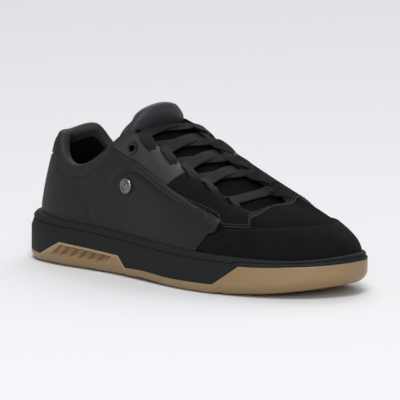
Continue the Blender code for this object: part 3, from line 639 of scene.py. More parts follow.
def standing(at, axis):
    """Turns millimetres about the origin to metres about a point of the shoe, Z along an axis."""
    turn = Vector(axis).to_track_quat("Z", "Y").to_matrix().to_4x4()
    return Matrix.Translation(place(at)) @ turn @ Matrix.Scale(MILLIMETRE, 4)


def drill_at(s, h):
    """A cutter for the ring's hole, across the upper's wall at a place on it."""
    bm = bmesh.new()
    bmesh.ops.create_cone(bm, cap_ends=True, segments=32, radius1=RING_HOLE_RADIUS, radius2=RING_HOLE_RADIUS,
                          depth=DRILL_DEPTH, matrix=standing(upper_point(s, h), upper_slopes(s, h)[1]))
    return add_object("drill", bm)


def cut(thing, cutter):
    """Takes a cutter out of a piece for good."""
    modifier = thing.modifiers.new("cut", "BOOLEAN")
    modifier.operation = "DIFFERENCE"
    modifier.solver = "EXACT"
    modifier.object = cutter
    evaluated = thing.evaluated_get(bpy.context.evaluated_depsgraph_get())
    mesh = bpy.data.meshes.new_from_object(evaluated)
    thing.modifiers.clear()
    old = thing.data
    thing.data = mesh
    bpy.data.meshes.remove(old)


def refine(grid, times):
    """A finer grid through the same points, smooth along its first axis."""
    slope = np.gradient(grid, axis=0)
    at = np.linspace(0, len(grid) - 1, (len(grid) - 1) * times + 1)
    i = np.clip(np.floor(at).astype(int), 0, len(grid) - 2)
    t = (at - i).reshape((-1,) + (1,) * (grid.ndim - 1))
    return blend(grid[i], grid[i + 1], slope[i], slope[i + 1], t)


def grid_normals(points):
    """Unit normals at the points of a grid."""
    normal = np.cross(np.gradient(points, axis=0), np.gradient(points, axis=1))
    return normal / np.maximum(np.linalg.norm(normal, axis=-1, keepdims=True), 1e-9)


# Sole

def sole_columns(extra=()):
    """Places around the sole, at the same distances from the heel on both sides."""
    half = len(AROUND) // 2
    turn = np.linspace(0, math.pi, SOLE_TURN_COLUMNS)
    along = [LENGTH * (1 - np.cos(turn)) / 2, np.arange(SOLE_STEP, LENGTH - SOLE_STEP, SOLE_STEP),
             [x for x, _ in GUM_EDGE], extra]
    along = np.unique(np.round(np.concatenate(along), 2))
    keep = np.concatenate([[True], np.diff(along) > SOLE_CLOSEST])
    for corner, _ in GUM_EDGE:
        keep |= np.abs(along - corner) < 1e-6
    along = along[keep]
    lateral = np.interp(along, EDGE_X[:half + 1], AROUND[:half + 1])
    medial = np.interp(along[::-1], EDGE_X[half:][::-1], AROUND[half:][::-1])[1:-1]
    return np.concatenate([lateral, medial])


def wrap(points):
    """Repeats the first column at the end, so that a strip closes around the shoe."""
    return np.concatenate([points, points[:, :1]], axis=1)


def cap(ring, height, spans):
    """A sheet straight across a ring around the shoe, its height over the ground line given by a function."""
    half = len(ring) // 2
    lateral = ring[:half + 1]
    medial = ring[[0] + list(range(len(ring) - 1, half - 1, -1))]
    sheet = np.stack([lateral + (medial - lateral) * t for t in np.linspace(0, 1, spans + 1)])
    sheet[1:-1, :, 2] = ground(sheet[1:-1, :, 0]) + height(sheet[1:-1])
    return sheet


def pocket_depth(x, z):
    """Depth of the heel window's pockets at a distance from the heel and a height."""
    along, height = np.array(GUM_EDGE, float).T
    edge = np.interp(x, along, height) - z
    slope = np.gradient(np.interp(x, along, height), x, axis=-1) if np.ndim(x) else 0.0
    frame_depth = smooth_step(*(WINDOW_FRAME * t for t in FRAME_SLOPE), edge / np.hypot(1, slope))
    count = (x - POCKET_FIRST - POCKET_SLANT * (z - POCKET_MIDDLE)) / POCKET_PITCH
    share = np.abs(count - np.round(count)) * 2
    rib = smooth_step(1 - RIB_SHARE, 1 - RIB_SHARE / 3, share)
    inside = smooth_step(*POCKET_START, count) * (1 - smooth_step(*POCKET_STOP, count))
    return POCKET_DEPTH * frame_depth * (1 - rib) * inside * smooth_step(*POCKET_FADE, z)


def groove_depth(x):
    """Depth of the tread's grooves at a distance from the heel."""
    depth = np.zeros_like(x)
    for along in TREAD_GROOVES:
        side = smooth_step(*GROOVE_SLOPE, np.abs(x - along) / GROOVE_WIDTH)
        depth = np.maximum(depth, GROOVE_DEPTH * (1 - side))
    return depth


def make_outsole():
    """Gum tray: rounded edge, grooved tread, walls with a window of pockets on each side of the heel."""
    extra = [np.arange(*WINDOW, WINDOW_STEP)]
    extra += [along + np.array(GROOVE_COLUMNS) for along in TREAD_GROOVES]
    s = sole_columns(np.concatenate(extra))
    x = outline(s, 0.0)[0]
    top = gum_top(s)
    radius = np.clip(top - 2 * EDGE_SOFTENING, *EDGE_RADIUS_LIMITS)
    rings = []
    for angle in np.radians(np.linspace(0, 90, TREAD_EDGE_ROWS)):
        groove = groove_depth(x) * max(0.0, 1 - math.degrees(angle) / GROOVE_RUNOUT)
        rings.append((radius * (1 - math.sin(angle)), radius * (1 - math.cos(angle)) + groove))
    wall = top - EDGE_SOFTENING
    half = len(s) // 2 + 1
    for t in np.linspace(0, 1, GUM_WALL_ROWS)[1:]:
        height = radius + (wall - radius) * t
        depth = np.concatenate([pocket_depth(x[:half], height[:half]),
                                pocket_depth(x[half:][::-1], height[half:][::-1])[::-1]])
        rings.append((depth, height))
    for angle in np.radians((30, 60, 90)):
        rings.append((EDGE_SOFTENING * (1 - math.cos(angle)), wall + EDGE_SOFTENING * math.sin(angle)))
    rings += [(GUM_WALL, top), (GUM_WALL, np.full_like(top, GUM_FLOOR))]
    strip = wrap(np.stack([sole_point(s, inset, height) for inset, height in rings]))
    bm = bmesh.new()
    heights = np.array([np.broadcast_to(height, x.shape) for _, height in rings])
    # The top rows of each window take the paler gum: a painted highlight along the raised frame
    highlit_frame = (heights > top - WINDOW_FRAME * FRAME_HIGHLIGHT_SHARE) & (x > WINDOW[0]) & (x < WINDOW[1])
    add_grid(bm, strip, surface_uv(strip), lambda row, column: int(highlit_frame[row, column]))
    add_grid(bm, cap(strip[0, :-1], lambda p: groove_depth(p[..., 0]), TREAD_SPANS))
    add_grid(bm, cap(strip[-1, :-1], lambda p: np.full(p.shape[:-1], GUM_FLOOR), FLOOR_SPANS))
    return piece("gum_outsole", bm, ["Gum rubber", "Gum frame highlight"], "outsole", sharp=40)


def make_midsole():
    """Cupsole: steps out over the gum's edge, a plain wall, a fine groove and a rounded lip."""
    s = sole_columns()
    gum, lip, seat = gum_top(s), lip_height(s), CURVE["seat"](s)
    bead = np.minimum(BEAD_HEIGHT, BEAD_SHARE * (lip - gum))
    inside, low = GUM_WALL + GAP, gum + GAP / 3
    rings = [(inside, np.full_like(s, GUM_FLOOR + GAP)), (inside, low)]
    for angle in np.radians((0, 30, 60, 90)):
        rings.append((EDGE_SOFTENING * (1 - math.sin(angle)), low + EDGE_SOFTENING * (1 - math.cos(angle))))
    start = low + EDGE_SOFTENING
    first = lip - bead * LIP_PROFILE[0][1]
    rings += [(GAP * t, start + (np.maximum(first, start) - start) * t) for t in (0.3, 0.6, 0.9)]
    for inset, drop in LIP_PROFILE:
        rings.append((seat * inset, np.maximum(lip - bead * drop, start)))
    rings.append((seat, bed(outline(s, seat)[0])))
    strip = wrap(np.stack([sole_point(s, inset, height) for inset, height in rings]))
    bm = bmesh.new()
    add_grid(bm, strip, surface_uv(strip))
    add_grid(bm, cap(strip[0, :-1], lambda p: np.full(p.shape[:-1], GUM_FLOOR + GAP), FLOOR_SPANS))
    add_grid(bm, cap(strip[-1, :-1], lambda p: bed(p[..., 0]), FLOOR_SPANS))
    return piece("cupsole", bm, ["Black cupsole rubber"], "midsole", sharp=50)


def make_insole():
    """Footbed: cupped at its edge, covered in cloth."""
    s = sole_columns()
    inset = CURVE["seat"](s) + 2 * GAP + WALL
    foot = bed(outline(s, inset)[0]) + GAP
    rings = [(inset, foot)]
    for angle in np.radians(np.linspace(0, 90, 5)):
        rings.append((inset + INSOLE_ROUNDING * (1 - math.cos(angle)),
                      foot + INSOLE_THICKNESS - INSOLE_ROUNDING * (1 - math.sin(angle))))
    strip = wrap(np.stack([sole_point(s, a, b) for a, b in rings]))
    top = cap(strip[-1, :-1], lambda p: bed(p[..., 0]) + GAP + INSOLE_THICKNESS, INSOLE_SPANS)
    bm = bmesh.new()
    add_grid(bm, strip, surface_uv(strip))
    add_grid(bm, cap(strip[0, :-1], lambda p: bed(p[..., 0]) + GAP, FLOOR_SPANS))
    add_grid(bm, top, surface_uv(top))
    return piece("footbed", bm, ["Lining cloth"], "insole")


# Upper

def round_over(outer, inner, up, count):
    """Rows of a half-round rim from an outer edge to an inner one."""
    middle = (outer + inner) / 2
    half = np.linalg.norm(outer - inner, axis=1)[:, None] / 2
    return [middle + (outer - middle) * math.cos(angle) + up * half * math.sin(angle)
            for angle in np.linspace(0, math.pi, count)[1:-1]]


def make_upper():
    """Hollow upper: a skirt inside the cupsole, the nubuck outer face, a round rim and the cloth lining."""
    s = np.linspace(0, 1, UPPER_COLUMNS + 1)[:-1]
    seat = CURVE["seat"](s) + GAP
    foot = bed(outline(s, seat)[0]) + GAP
    outer = upper_point(*np.meshgrid(s, np.linspace(0, 1, UPPER_ROWS)))
    grid_s, grid_h = np.meshgrid(s, np.linspace(1, 0, INNER_ROWS))
    inner = upper_offset(grid_s, grid_h, -wall_thickness(grid_s, grid_h))
    inner[-1] = sole_point(s, seat + WALL, lip_height(s))
    rim = round_over(outer[-1], inner[0], upper_slopes(s, np.ones_like(s))[0], RIM_ROWS)
    skirt_outer = sole_point(s, seat, foot)[None]
    skirt_inner = sole_point(s, seat + WALL, foot)[None]
    sheet = wrap(np.concatenate([skirt_outer, outer, rim, inner, skirt_inner, skirt_outer]))
    lining_start = 1 + UPPER_ROWS + RIM_ROWS // 2
    bm = bmesh.new()
    add_grid(bm, sheet, surface_uv(sheet), lambda row, column: int(row >= lining_start))
    return piece("upper_shell", bm, ["Nubuck", "Lining cloth"], "upper", sharp=60)


def collar_low(stations):
    """Lower edge of the collar, as a share of the upper's height: level, then up to the eyestays."""
    return np.interp(np.abs(stations), (COLLAR_LEVEL, COLLAR_END), (COLLAR_LOW, COLLAR_RISEN))


def make_collar():
    """Padded collar: a soft tube over the rim, flush with the quarters' leather, and over to the lining."""
    stations = np.linspace(-COLLAR_END, COLLAR_END, COLLAR_COLUMNS)
    s = stations / COUNT
    ends = smooth_step(0, COLLAR_FADE, COLLAR_END - np.abs(stations))
    low = collar_low(stations)
    flush = (GAP + PANEL) * (COLLAR_END_SHARE + (1 - COLLAR_END_SHARE) * ends) + COLLAR_OVER
    rows = [upper_offset(s, low, np.full_like(s, COLLAR_FOOT))]
    for t in np.linspace(0, 1, COLLAR_ROWS):
        puff = flush + COLLAR_PUFF * ends * math.sin(math.pi * t) - COLLAR_TUCK * ends * t
        rows.append(upper_offset(s, low + (1 - low) * t, puff))
    inner_rows = []
    for h in np.linspace(1, LINING_TOP, COLLAR_INNER_ROWS):
        level = np.full_like(s, h)
        inner_rows.append(upper_offset(s, level, -wall_thickness(s, level) - COLLAR_INSIDE * ends))
    middle = (rows[-1] + inner_rows[0]) / 2
    rows += round_over(rows[-1], inner_rows[0], upper_slopes(s, np.ones_like(s))[0], COLLAR_RIM_ROWS)
    sheet = np.array(rows + inner_rows)
    bm = bmesh.new()
    between(bm, middle + (sheet - middle) * COLLAR_CORE, sheet, surface_uv(sheet),
            lambda row, column: int(row > len(rows) + COLLAR_LEATHER_ROWS))
    collar = piece("collar", bm, ["Collar leather", "Lining cloth"], None)
    return collar


def panel_grid(s, low, high, ends=False, count=PANEL_ROWS):
    """Rows over a panel's columns: places on the upper and their rise over it.

    Steps of the upper edge are taken up by the topmost rows, so that creases below meet even rows.
    """
    edge_rows, edge_rise = np.array(EDGE_ROWS), np.array(EDGE_RISE)
    heights = np.linspace(low, np.maximum(high, low + 1e-5), PANEL_SAMPLES)
    runs = run_length(upper_point(s, heights))
    window = 2 * ROW_EVENING + 1
    even = np.convolve(np.pad(runs[-1], ROW_EVENING, mode="edge"), np.ones(window), "valid") / window
    even = np.clip(even, *(limit * runs[-1] for limit in EVENING_LIMITS))
    share = np.linspace(0, 1, count + 2)[1:-1]
    grid_h, rise = [], []
    for h0, h, run, mean in zip(low, heights.T, runs.T, even):
        size = min(1.0, run[-1] / PANEL_FULL)
        first = edge_rows[-1] * size
        inner = first + share * (mean - 2 * first) + (run[-1] - mean) * share ** EVENING_POWER
        at = np.concatenate([edge_rows * size, inner, run[-1] - edge_rows[::-1] * size])
        grid_h.append(np.interp(at, run, h))
        foot = np.ones_like(edge_rise) if h0 == 0 else edge_rise
        narrow = PANEL_NARROW_SHARE + (1 - PANEL_NARROW_SHARE) * size
        rise.append(np.concatenate([foot, np.ones(count), edge_rise[::-1]]) * narrow)
    grid_h, rise = np.array(grid_h).T, np.array(rise).T
    if ends:
        run = run_length(upper_point(s, low))
        near = np.minimum(run, run[-1] - run)
        rise = rise * np.interp(near, EDGE_ROWS[:4], EDGE_RISE[:4])
    return np.repeat(s[None], len(grid_h), axis=0), grid_h, rise


def panel_columns(start, stop, low, high):
    """Columns between two stations at which a panel has height, about a step apart."""
    fine = np.linspace(start, stop, PANEL_COLUMN_SAMPLES) / COUNT
    tall = np.flatnonzero(high(fine) - low(fine) > PANEL_LEAST)
    s = fine[tall[0]:tall[-1] + 1]
    run = run_length(upper_point(s, (low(s) + high(s)) / 2))
    return np.interp(np.linspace(0, run[-1], int(run[-1] / PANEL_STEP) + 2), run, s)


def make_panel(name, node, finish, stations, low, high, relief=None, ends=False, raw_and_highlit=False):
    """A panel on the upper, its cut edges rounded and its stitch lines sunk: the piece and those lines."""
    s = panel_columns(*stations, low, high)
    grid_s, grid_h, rise = panel_grid(s, low(s), high(s), ends, CREASED_ROWS if relief else PANEL_ROWS)
    lift = PANEL_FOOT + (GAP + PANEL - PANEL_FOOT) * rise
    if relief:
        lift = lift + relief(upper_point(grid_s, grid_h))
    outer = upper_offset(grid_s, grid_h, lift)
    inner = upper_offset(grid_s, grid_h, np.full(lift.shape, PANEL_UNDERSIDE))

    # Raw cut edges take the paler finish: partly their lighter raw edge, partly a painted highlight on the
    # rounding
    def edge_finish(row, column):
        return int(raw_and_highlit and (row < RAW_AND_HIGHLIT_ROWS or row >= len(outer) - 1 - RAW_AND_HIGHLIT_ROWS))

    bm = bmesh.new()
    between(bm, inner, outer, surface_uv(outer), edge_finish)
    thing = piece(name, bm, [finish, "Cut edge and highlight"] if raw_and_highlit else [finish], node, sharp=65)
    normal = upper_slopes(grid_s, grid_h)[1]
    lines = {"low": STITCH_ROW, "high": -1 - STITCH_ROW}
    return thing, {edge: (outer[row], normal[row]) for edge, row in lines.items()}


def crease_relief(creases):
    """A function for the soft troughs and ridges that side-view lines draw into a panel."""
    def relief(points):
        total = np.zeros(points.shape[:-1])
        flat = points[..., (0, 2)]
        for width, line in creases:
            line = np.array(line)
            best, amount = np.full(total.shape, np.inf), np.zeros(total.shape)
            for start, stop in zip(line, line[1:]):
                step = stop[:2] - start[:2]
                t = np.clip(((flat - start[:2]) @ step) / (step @ step), 0, 1)
                away = np.linalg.norm(flat - start[:2] - t[..., None] * step, axis=-1)
                amount = np.where(away < best, start[2] + (stop[2] - start[2]) * t, amount)
                best = np.minimum(best, away)
            total += amount * np.exp(-(best / width) ** 2)
        return total
    return relief


def on_side(stations, side):
    """A run of stations on the lateral side, or its mirror image on the medial side."""
    start, stop = stations
    return stations if side < 0 else (COUNT - stop, COUNT - start)


def edge_along(line):
    """A panel's edge along a side-view line."""
    return lambda s: crossing(s, over(line))


def quarter_low(s):
    """Lower edge of a quarter: the cupsole's lip, then the slanted front edge."""
    h = crossing(s, over(QUARTER_FRONT))
    return np.where(h < 1e-6, 0.0, h)


def quarter_high(s):
    """Upper edge of a quarter: under the heel tab, along the collar, then down to the front."""
    station = np.minimum(s, 1 - s) * COUNT
    heel = crossing(s, over(QUARTER_HEEL))
    front = np.minimum(crossing(s, over(QUARTER_TOP)), collar_low(station) + QUARTER_LAP)
    return np.where(station < HEEL_TAB_STATIONS[1] - HEEL_TAB_LAP, heel, front)


def saddle_low(s):
    """Lower edge of a saddle: along the quarter, then across the vamp."""
    return np.maximum(crossing(s, over(SADDLE_BOTTOM)), crossing(s, behind(SADDLE_FRONT)))


def make_panels():
    """Quarters, eyestays, saddles, mudguard and heel tab; returns their stitch rows for the thread."""
    rows = {}
    for name, side in SIDES:
        relief = crease_relief(LATERAL_CREASES if side < 0 else MEDIAL_CREASES)
        _, rows["quarter_" + name] = make_panel(
            "quarter_panel_" + name, "quarter_" + name, "Smooth leather",
            on_side(QUARTER_STATIONS, side), quarter_low, quarter_high, relief)
        # The eyestays take a lighter copy of the smooth leather: painted light on their up-facing flaps
        eyestay, rows["eyestay_" + name] = make_panel(
            "eyestay_panel_" + name, "eyestay_" + name, "Lit eyestay leather",
            on_side(EYESTAY_STATIONS, side), edge_along(EYESTAY_BOTTOM), np.ones_like, raw_and_highlit=True)
        drill = drill_at(*lace_holes(side)[0])
        cut(eyestay, drill)
        cut(bpy.data.objects["upper_shell"], drill)
        bpy.data.objects.remove(drill)
        _, rows["saddle_" + name] = make_panel(
            "saddle_panel_" + name, "saddle_" + name, "Suede",
            on_side(SADDLE_STATIONS, side), saddle_low, edge_along(SADDLE_REAR), raw_and_highlit=True)
    _, rows["mudguard"] = make_panel(
        "mudguard_panel", "mudguard", "Suede", MUDGUARD_STATIONS,
        np.zeros_like, edge_along(MUDGUARD_TOP))
    _, rows["heel_tab"] = make_panel(
        "heel_tab_panel", "heel_tab", "Smooth leather", HEEL_TAB_STATIONS,
        edge_along(HEEL_TAB_BOTTOM), lambda s: np.full_like(s, HEEL_TAB_TOP), ends=True)
    return rows


def roll_places(along, side):
    """Parameters of the upper's points on the roll's middle at distances from the heel."""
    s = np.linspace(*ROLL_REACH, 801)
    if side > 0:
        s = 1 - s
    h = crossing(s, over(ROLL_LINE))
    reach = upper_point(s, h)[:, 0]
    return np.interp(along, reach, s), np.interp(along, reach, h)


def make_roll(name, side):
    """Padded roll along a quarter's front edge: half-round, slimmer at its upper end, round at both ends."""
    turns = np.radians(np.linspace(0, 180, ROLL_SIDES + 1))
    base, dome = [], []
    rise_start, rise_stop, rise_share = ROLL_RISE
    fall_start, fall_stop, fall_share = ROLL_FALL
    distances = np.linspace(ROLL_LINE[0][0], ROLL_LINE[-1][0], ROLL_SECTIONS)
    for along, s, h in zip(distances, *roll_places(distances, side)):
        size = ROLL_TAPER + (1 - ROLL_TAPER) * float(smooth_step(*ROLL_TAPER_RUN, along))
        end = min(along - ROLL_LINE[0][0], ROLL_LINE[-1][0] - along)
        round_off = math.sqrt(max(0.0, 1 - (1 - min(1.0, end / ROLL_ROUNDING)) ** 2))
        near = np.linspace(max(h - ROLL_SPREAD, 0.0), min(h + ROLL_SPREAD, 1.0), 101)
        run = run_length(upper_point(s, near))
        width = ROLL_WIDTH / 2 * size * (ROLL_END_SHARE + (1 - ROLL_END_SHARE) * round_off)
        rows = np.interp(width * np.cos(turns), run - np.interp(h, near, run), near)
        base.append(upper_offset(s, rows, np.full(len(rows), PANEL_UNDERSIDE)))
        wave = 1 + sum(height * math.sin(along * pace + start) for height, pace, start in ROLL_WAVES)
        swell = rise_share + (1 - rise_share) * float(smooth_step(rise_start, rise_stop, along))
        swell *= 1 - fall_share * float(smooth_step(fall_start, fall_stop, along))
        height = ROLL_HEIGHT * swell * round_off * wave * np.sin(turns) ** ROLL_FULLNESS
        dome.append(upper_offset(s, rows, PANEL_FOOT + height))
    bm = bmesh.new()
    outer = np.array(dome)
    between(bm, np.array(base), outer, surface_uv(outer))
    roll = piece("padded_roll_" + name, bm, ["Smooth leather"], "roll_" + name)
    return roll


# Tongue and lace

def throat_section(lateral, medial, rows_at, lift):
    """Points across the throat from one side to the other: under the eyestays, and over a crown between."""
    sides = []
    for s in (lateral, medial):
        rows = rows_at(s)
        up = upper_slopes(s, 1.0)[0]
        sides.append((upper_offset(s, rows, lift(s, rows)), up * (TONGUE_CROWN_LEAN, 1, 1)))
    (left, left_up), (right, right_up) = sides
    span = np.linalg.norm(right[-1] - left[-1]) * TONGUE_CROWN
    crown = [blend(left[-1], right[-1], left_up * span, -right_up * span, t)
             for t in np.linspace(0, 1, TONGUE_CROWN_POINTS + 2)[1:-1]]
    return np.concatenate([left, crown, right[::-1]])


def tongue_rows(s):
    """Height parameters of the tongue's points under an eyestay; the tongue narrows towards its top."""
    station = min(s, 1 - s) * COUNT
    width = TONGUE_NARROWEST + (1 - TONGUE_NARROWEST) * smooth_step(*TONGUE_NARROWING, station)
    return 1 - (1 - np.array(TONGUE_ROWS)) * width


def under_wall(s, h):
    """Distance from the upper's outer face down to the tongue."""
    return -wall_thickness(s, h) - TONGUE_GAP


def round_ends(count, reach):
    """Shares of thickness along a row of points, rounded off over its first and last few."""
    near = np.minimum(np.arange(count), np.arange(count)[::-1])
    return np.sqrt(np.clip(1 - (1 - np.clip(near / reach, 0, 1)) ** 2, 0, 1))


def make_tongue():
    """Padded tongue: follows the upper's inside under the eyestays, crowned between, with a round top."""
    stations = np.linspace(TONGUE_FRONT, TONGUE_BACK, TONGUE_SECTIONS) / COUNT
    outer = [throat_section(s, 1 - s, tongue_rows, under_wall) for s in stations]
    thickness = list(np.linspace(*TONGUE_THICKNESS, len(outer)))
    last = outer[-1]
    half = np.array(TONGUE_TOP_EDGE)
    edge = np.concatenate([half * (1, -1, 1), half[-2::-1]]) + (0, last[:, 1].mean(), 0)
    for step, round_off in zip(TONGUE_TOP_STEPS, TONGUE_ROUNDING):
        outer.append(last + (edge - last) * step)
        thickness.append(TONGUE_THICKNESS[1] * round_off)
    outer = refine(np.array(outer), TONGUE_FINENESS)
    outer = np.swapaxes(refine(np.swapaxes(outer, 0, 1), TONGUE_FINENESS), 0, 1)
    thickness = refine(np.array(thickness), TONGUE_FINENESS)
    normal = grid_normals(outer)
    normal *= np.sign(normal[len(normal) // 3, normal.shape[1] // 2, 2])
    across = np.sin(np.linspace(0, math.pi, outer.shape[1]))
    depth = np.outer(thickness, TONGUE_FLANK_SHARE + (1 - TONGUE_FLANK_SHARE) * across)
    soft = np.outer(round_ends(len(outer), TONGUE_RIM_ROWS), round_ends(outer.shape[1], TONGUE_SIDE_ROWS))
    back = outer - normal * depth[..., None]
    first = (TONGUE_SECTIONS - 1) * TONGUE_FINENESS - TONGUE_PUFF_LEAD
    rise = np.clip((np.arange(len(outer)) - first) / (len(outer) - first), 0, 1)
    puff = np.outer(np.sin(math.pi * rise ** TONGUE_PUFF_LEAN), across ** TONGUE_PUFF_WIDTH)
    outer = outer + normal * (TONGUE_PUFF * puff)[..., None]
    middle = (outer + back) / 2
    front = middle + (outer - middle) * soft[..., None]
    back = middle + (back - middle) * soft[..., None]
    bm = bmesh.new()
    # Rows under the lace take a near-black mesh: painted shade on the lower tongue under the lace and
    # eyestays
    between(bm, back, front, surface_uv(outer), lambda row, column: int(row < first),
            lambda row, column: 2 if row < len(outer) - TONGUE_TURN else 0)
    tongue = piece("padded_tongue", bm, ["Tongue satin", "Tongue mesh", "Lining cloth"], "tongue")
    return tongue


def on_face(s, h):
    """No distance from the upper's outer face."""
    return np.zeros_like(h)


def throat_sheet():
    """A fine sheet over the throat that the lace is laid on: places around the shoe, points and normals."""
    around = np.linspace(*LACE_STATIONS, LACE_SHEET_ROWS) / COUNT
    sheet = np.array([throat_section(s, 1 - s, lambda _: np.array(LACE_ROWS), on_face) for s in around])
    sheet = np.swapaxes(refine(np.swapaxes(sheet, 0, 1), TONGUE_FINENESS), 0, 1)
    normal = grid_normals(sheet)
    return around, sheet, normal * np.sign(normal[len(normal) // 2, normal.shape[1] // 2, 2])


def on_sheet(around, grid, s, across):
    """Values of a sheet at places around the shoe and shares of its width."""
    row = np.clip(np.interp(s, around, np.arange(len(around))), 0, len(around) - 1.001)
    column = np.clip(across, 0, 0.9999) * (grid.shape[1] - 1)
    i, j = row.astype(int), column.astype(int)
    t, k = (row - i)[:, None], (column - j)[:, None]
    return ((grid[i, j] * (1 - k) + grid[i, j + 1] * k) * (1 - t)
            + (grid[i + 1, j] * (1 - k) + grid[i + 1, j + 1] * k) * t)


def lace_path(sheet, start, stop, bar, raised):
    """Middle line of one stretch of lace from a hole to the other side, and the directions it faces."""
    around, surface, normals = sheet
    t = np.linspace(0, 1, LACE_SECTIONS)
    s, across = (np.array(start)[:, None] + (np.array(stop) - np.array(start))[:, None] * t)
    near = across if start[1] < 0.5 else 1 - across
    far = 1 - near
    step = LACE_ON_PANEL - LACE_ON_TONGUE
    over_edge = [LACE_EDGE * share for share in LACE_OVER_EDGE]
    below_panel = [LACE_EDGE * share for share in LACE_BELOW_EDGE]
    lift = LACE_ON_TONGUE + step * (1 - smooth_step(*over_edge, near))
    if bar:
        lift += step * (1 - smooth_step(*over_edge, far))
    else:
        lift += (LACE_UNDER_PANEL - LACE_ON_TONGUE) * (1 - smooth_step(*below_panel, far))
        lift += raised * np.exp(-((t - 0.5) / LACE_CROSSING_WIDTH) ** 2)
    from_end = np.minimum(t, 1 - t) if bar else t
    lift = LACE_IN_HOLE + (lift - LACE_IN_HOLE) * smooth_step(0.0, LACE_OUT_OF_HOLE, from_end)
    normal = on_sheet(around, normals, s, across)
    line = on_sheet(around, surface, s, across) + normal * lift[:, None]
    for _ in range(LACE_TAUTNESS):
        line[2:-2] = (line[1:-3] + line[2:-2] * 2 + line[3:-1]) / 4
    return line, normal, from_end


def lace_band(bm, sheet, start, stop, bar, raised, width, thickness):
    """One flat stretch of lace: out of a hole, over the panel's edge and the tongue, to the other edge."""
    line, normal, from_end = lace_path(sheet, start, stop, bar, raised)
    widths = width * (LACE_GATHERED + (1 - LACE_GATHERED) * smooth_step(*LACE_GATHER_RUN, from_end))
    ahead = np.gradient(line, axis=0)
    side = np.cross(ahead, normal)
    side /= np.linalg.norm(side, axis=1, keepdims=True)
    up = np.cross(side, ahead)
    up /= np.linalg.norm(up, axis=1, keepdims=True)
    turn = np.linspace(0, 2 * math.pi, LACE_SIDES + 1)
    flat, thick = (np.sign(part) * np.abs(part) ** power
                   for part, power in zip((np.cos(turn), np.sin(turn)), LACE_FLATNESS))
    section = (line[:, None] + side[:, None] * (widths[:, None, None] / 2 * flat[None, :, None])
               + up[:, None] * (thickness / 2 * thick[None, :, None]))
    run = np.cumsum(np.linalg.norm(ahead, axis=1))[:, None]
    add_grid(bm, section, np.stack(np.broadcast_arrays(flat[None] * width / 2, run), -1) * UV_UNIT)
    for end in (0, -1):
        add_grid(bm, np.stack([section[end], np.repeat(line[end][None], len(turn), axis=0)]))


def make_lace(sizes):
    """Flat lace: a bar over the lowest holes and crossings above it, each running under the other eyestay."""
    shares = np.linspace(0, LACE_EDGE, len(LACE_ROWS))
    holes = [(s, float(np.interp(h, LACE_ROWS, shares))) for s, h in lace_holes(-1)]
    width, thickness = sizes.lace_width / MILLIMETRE, sizes.lace_thickness / MILLIMETRE
    sheet = throat_sheet()
    bm = bmesh.new()
    for i in range(1, HOLE_COUNT - 1):
        (low, share), (high, other) = holes[i], holes[i - 1]
        lace_band(bm, sheet, (low, 1 - share), (high, other), False, 0.0, width, thickness)
        lace_band(bm, sheet, (low, share), (high, 1 - other), False, LACE_CROSSING, width, thickness)
    lace = piece("flat_lace", bm, ["Lace weave"], "lace")
    bm = bmesh.new()
    lowest, share = holes[-1]
    lace_band(bm, sheet, (lowest, share), (lowest, 1 - share), True, 0.0, width, thickness)
    bar = piece("flat_lace_bar", bm, ["Lace weave"], "lace_bar")
    return lace, bar


# Hardware and thread

def turned(name, profile, at, axis, finish, node):
    """A turned piece standing on a point of the shoe with its axis along the surface normal."""
    bm = bmesh.new()
    ring = [bm.verts.new((radius, 0, height)) for radius, height in profile]
    edges = [bm.edges.new(pair) for pair in zip(ring, ring[1:])]
    if profile[0][0] > 0:
        edges.append(bm.edges.new((ring[-1], ring[0])))
    bmesh.ops.spin(bm, geom=ring + edges, axis=(0, 0, 1), cent=(0, 0, 0), angle=2 * math.pi,
                   steps=TURNED_STEPS, use_merge=True)
    bmesh.ops.transform(bm, matrix=standing(at, axis), verts=bm.verts)
    return piece(name, bm, [finish], node, sharp=35)


def make_hardware():
    """The metal ring in each top hole and the plain round badge on the lateral quarter."""
    for name, side in SIDES:
        s, h = lace_holes(side)[0]
        turned("eyelet_ring_" + name, RING_PROFILE, upper_offset(s, h, GAP + PANEL), upper_slopes(s, h)[1],
               "Dark steel", "eyelet_" + name)
    s, h = surface_place(BADGE_ALONG, BADGE_HEIGHT, -1)
    turned("round_badge", BADGE_PROFILE, upper_offset(s, h, GAP + PANEL + BADGE_OVER), upper_slopes(s, h)[1],
           "Bright steel", "badge")


def make_stitches(sizes, name, finish, rows):
    """Thread along the panels' edges, one small loop for each stitch."""
    pitch, length = sizes.stitch_pitch / MILLIMETRE, sizes.stitch_length / MILLIMETRE
    radius = sizes.thread / MILLIMETRE / 2
    size = Matrix.Diagonal((length / 2, radius, radius, 1.0)) @ Matrix.Scale(MILLIMETRE, 4)
    size = size @ Matrix.Rotation(math.pi / 2, 4, "Y")
    sewn = bmesh.new()
    seam = bpy.data.meshes.new("seam")
    for points, normals in rows:
        run = run_length(points)
        at = np.arange(pitch, run[-1] - pitch, pitch)
        spots, ends, ups = (np.stack([np.interp(where, run, values[:, i]) for i in range(3)], -1)
                            for where, values in ((at, points), (at + 0.5, points), (at, normals)))
        bm = bmesh.new()
        for spot, end, up in zip(spots, ends, ups):
            x, z = Vector(end - spot).normalized(), Vector(up).normalized()
            turn = Matrix((x, z.cross(x), z)).transposed().to_4x4()
            where = Matrix.Translation(place(spot + up * radius * 0.5))
            bmesh.ops.create_uvsphere(bm, u_segments=6, v_segments=5, radius=1.0, matrix=where @ turn @ size)
        bm.to_mesh(seam)
        bm.free()
        sewn.from_mesh(seam)
    bpy.data.meshes.remove(seam)
    return piece(name, sewn, [finish], None)


# Materials

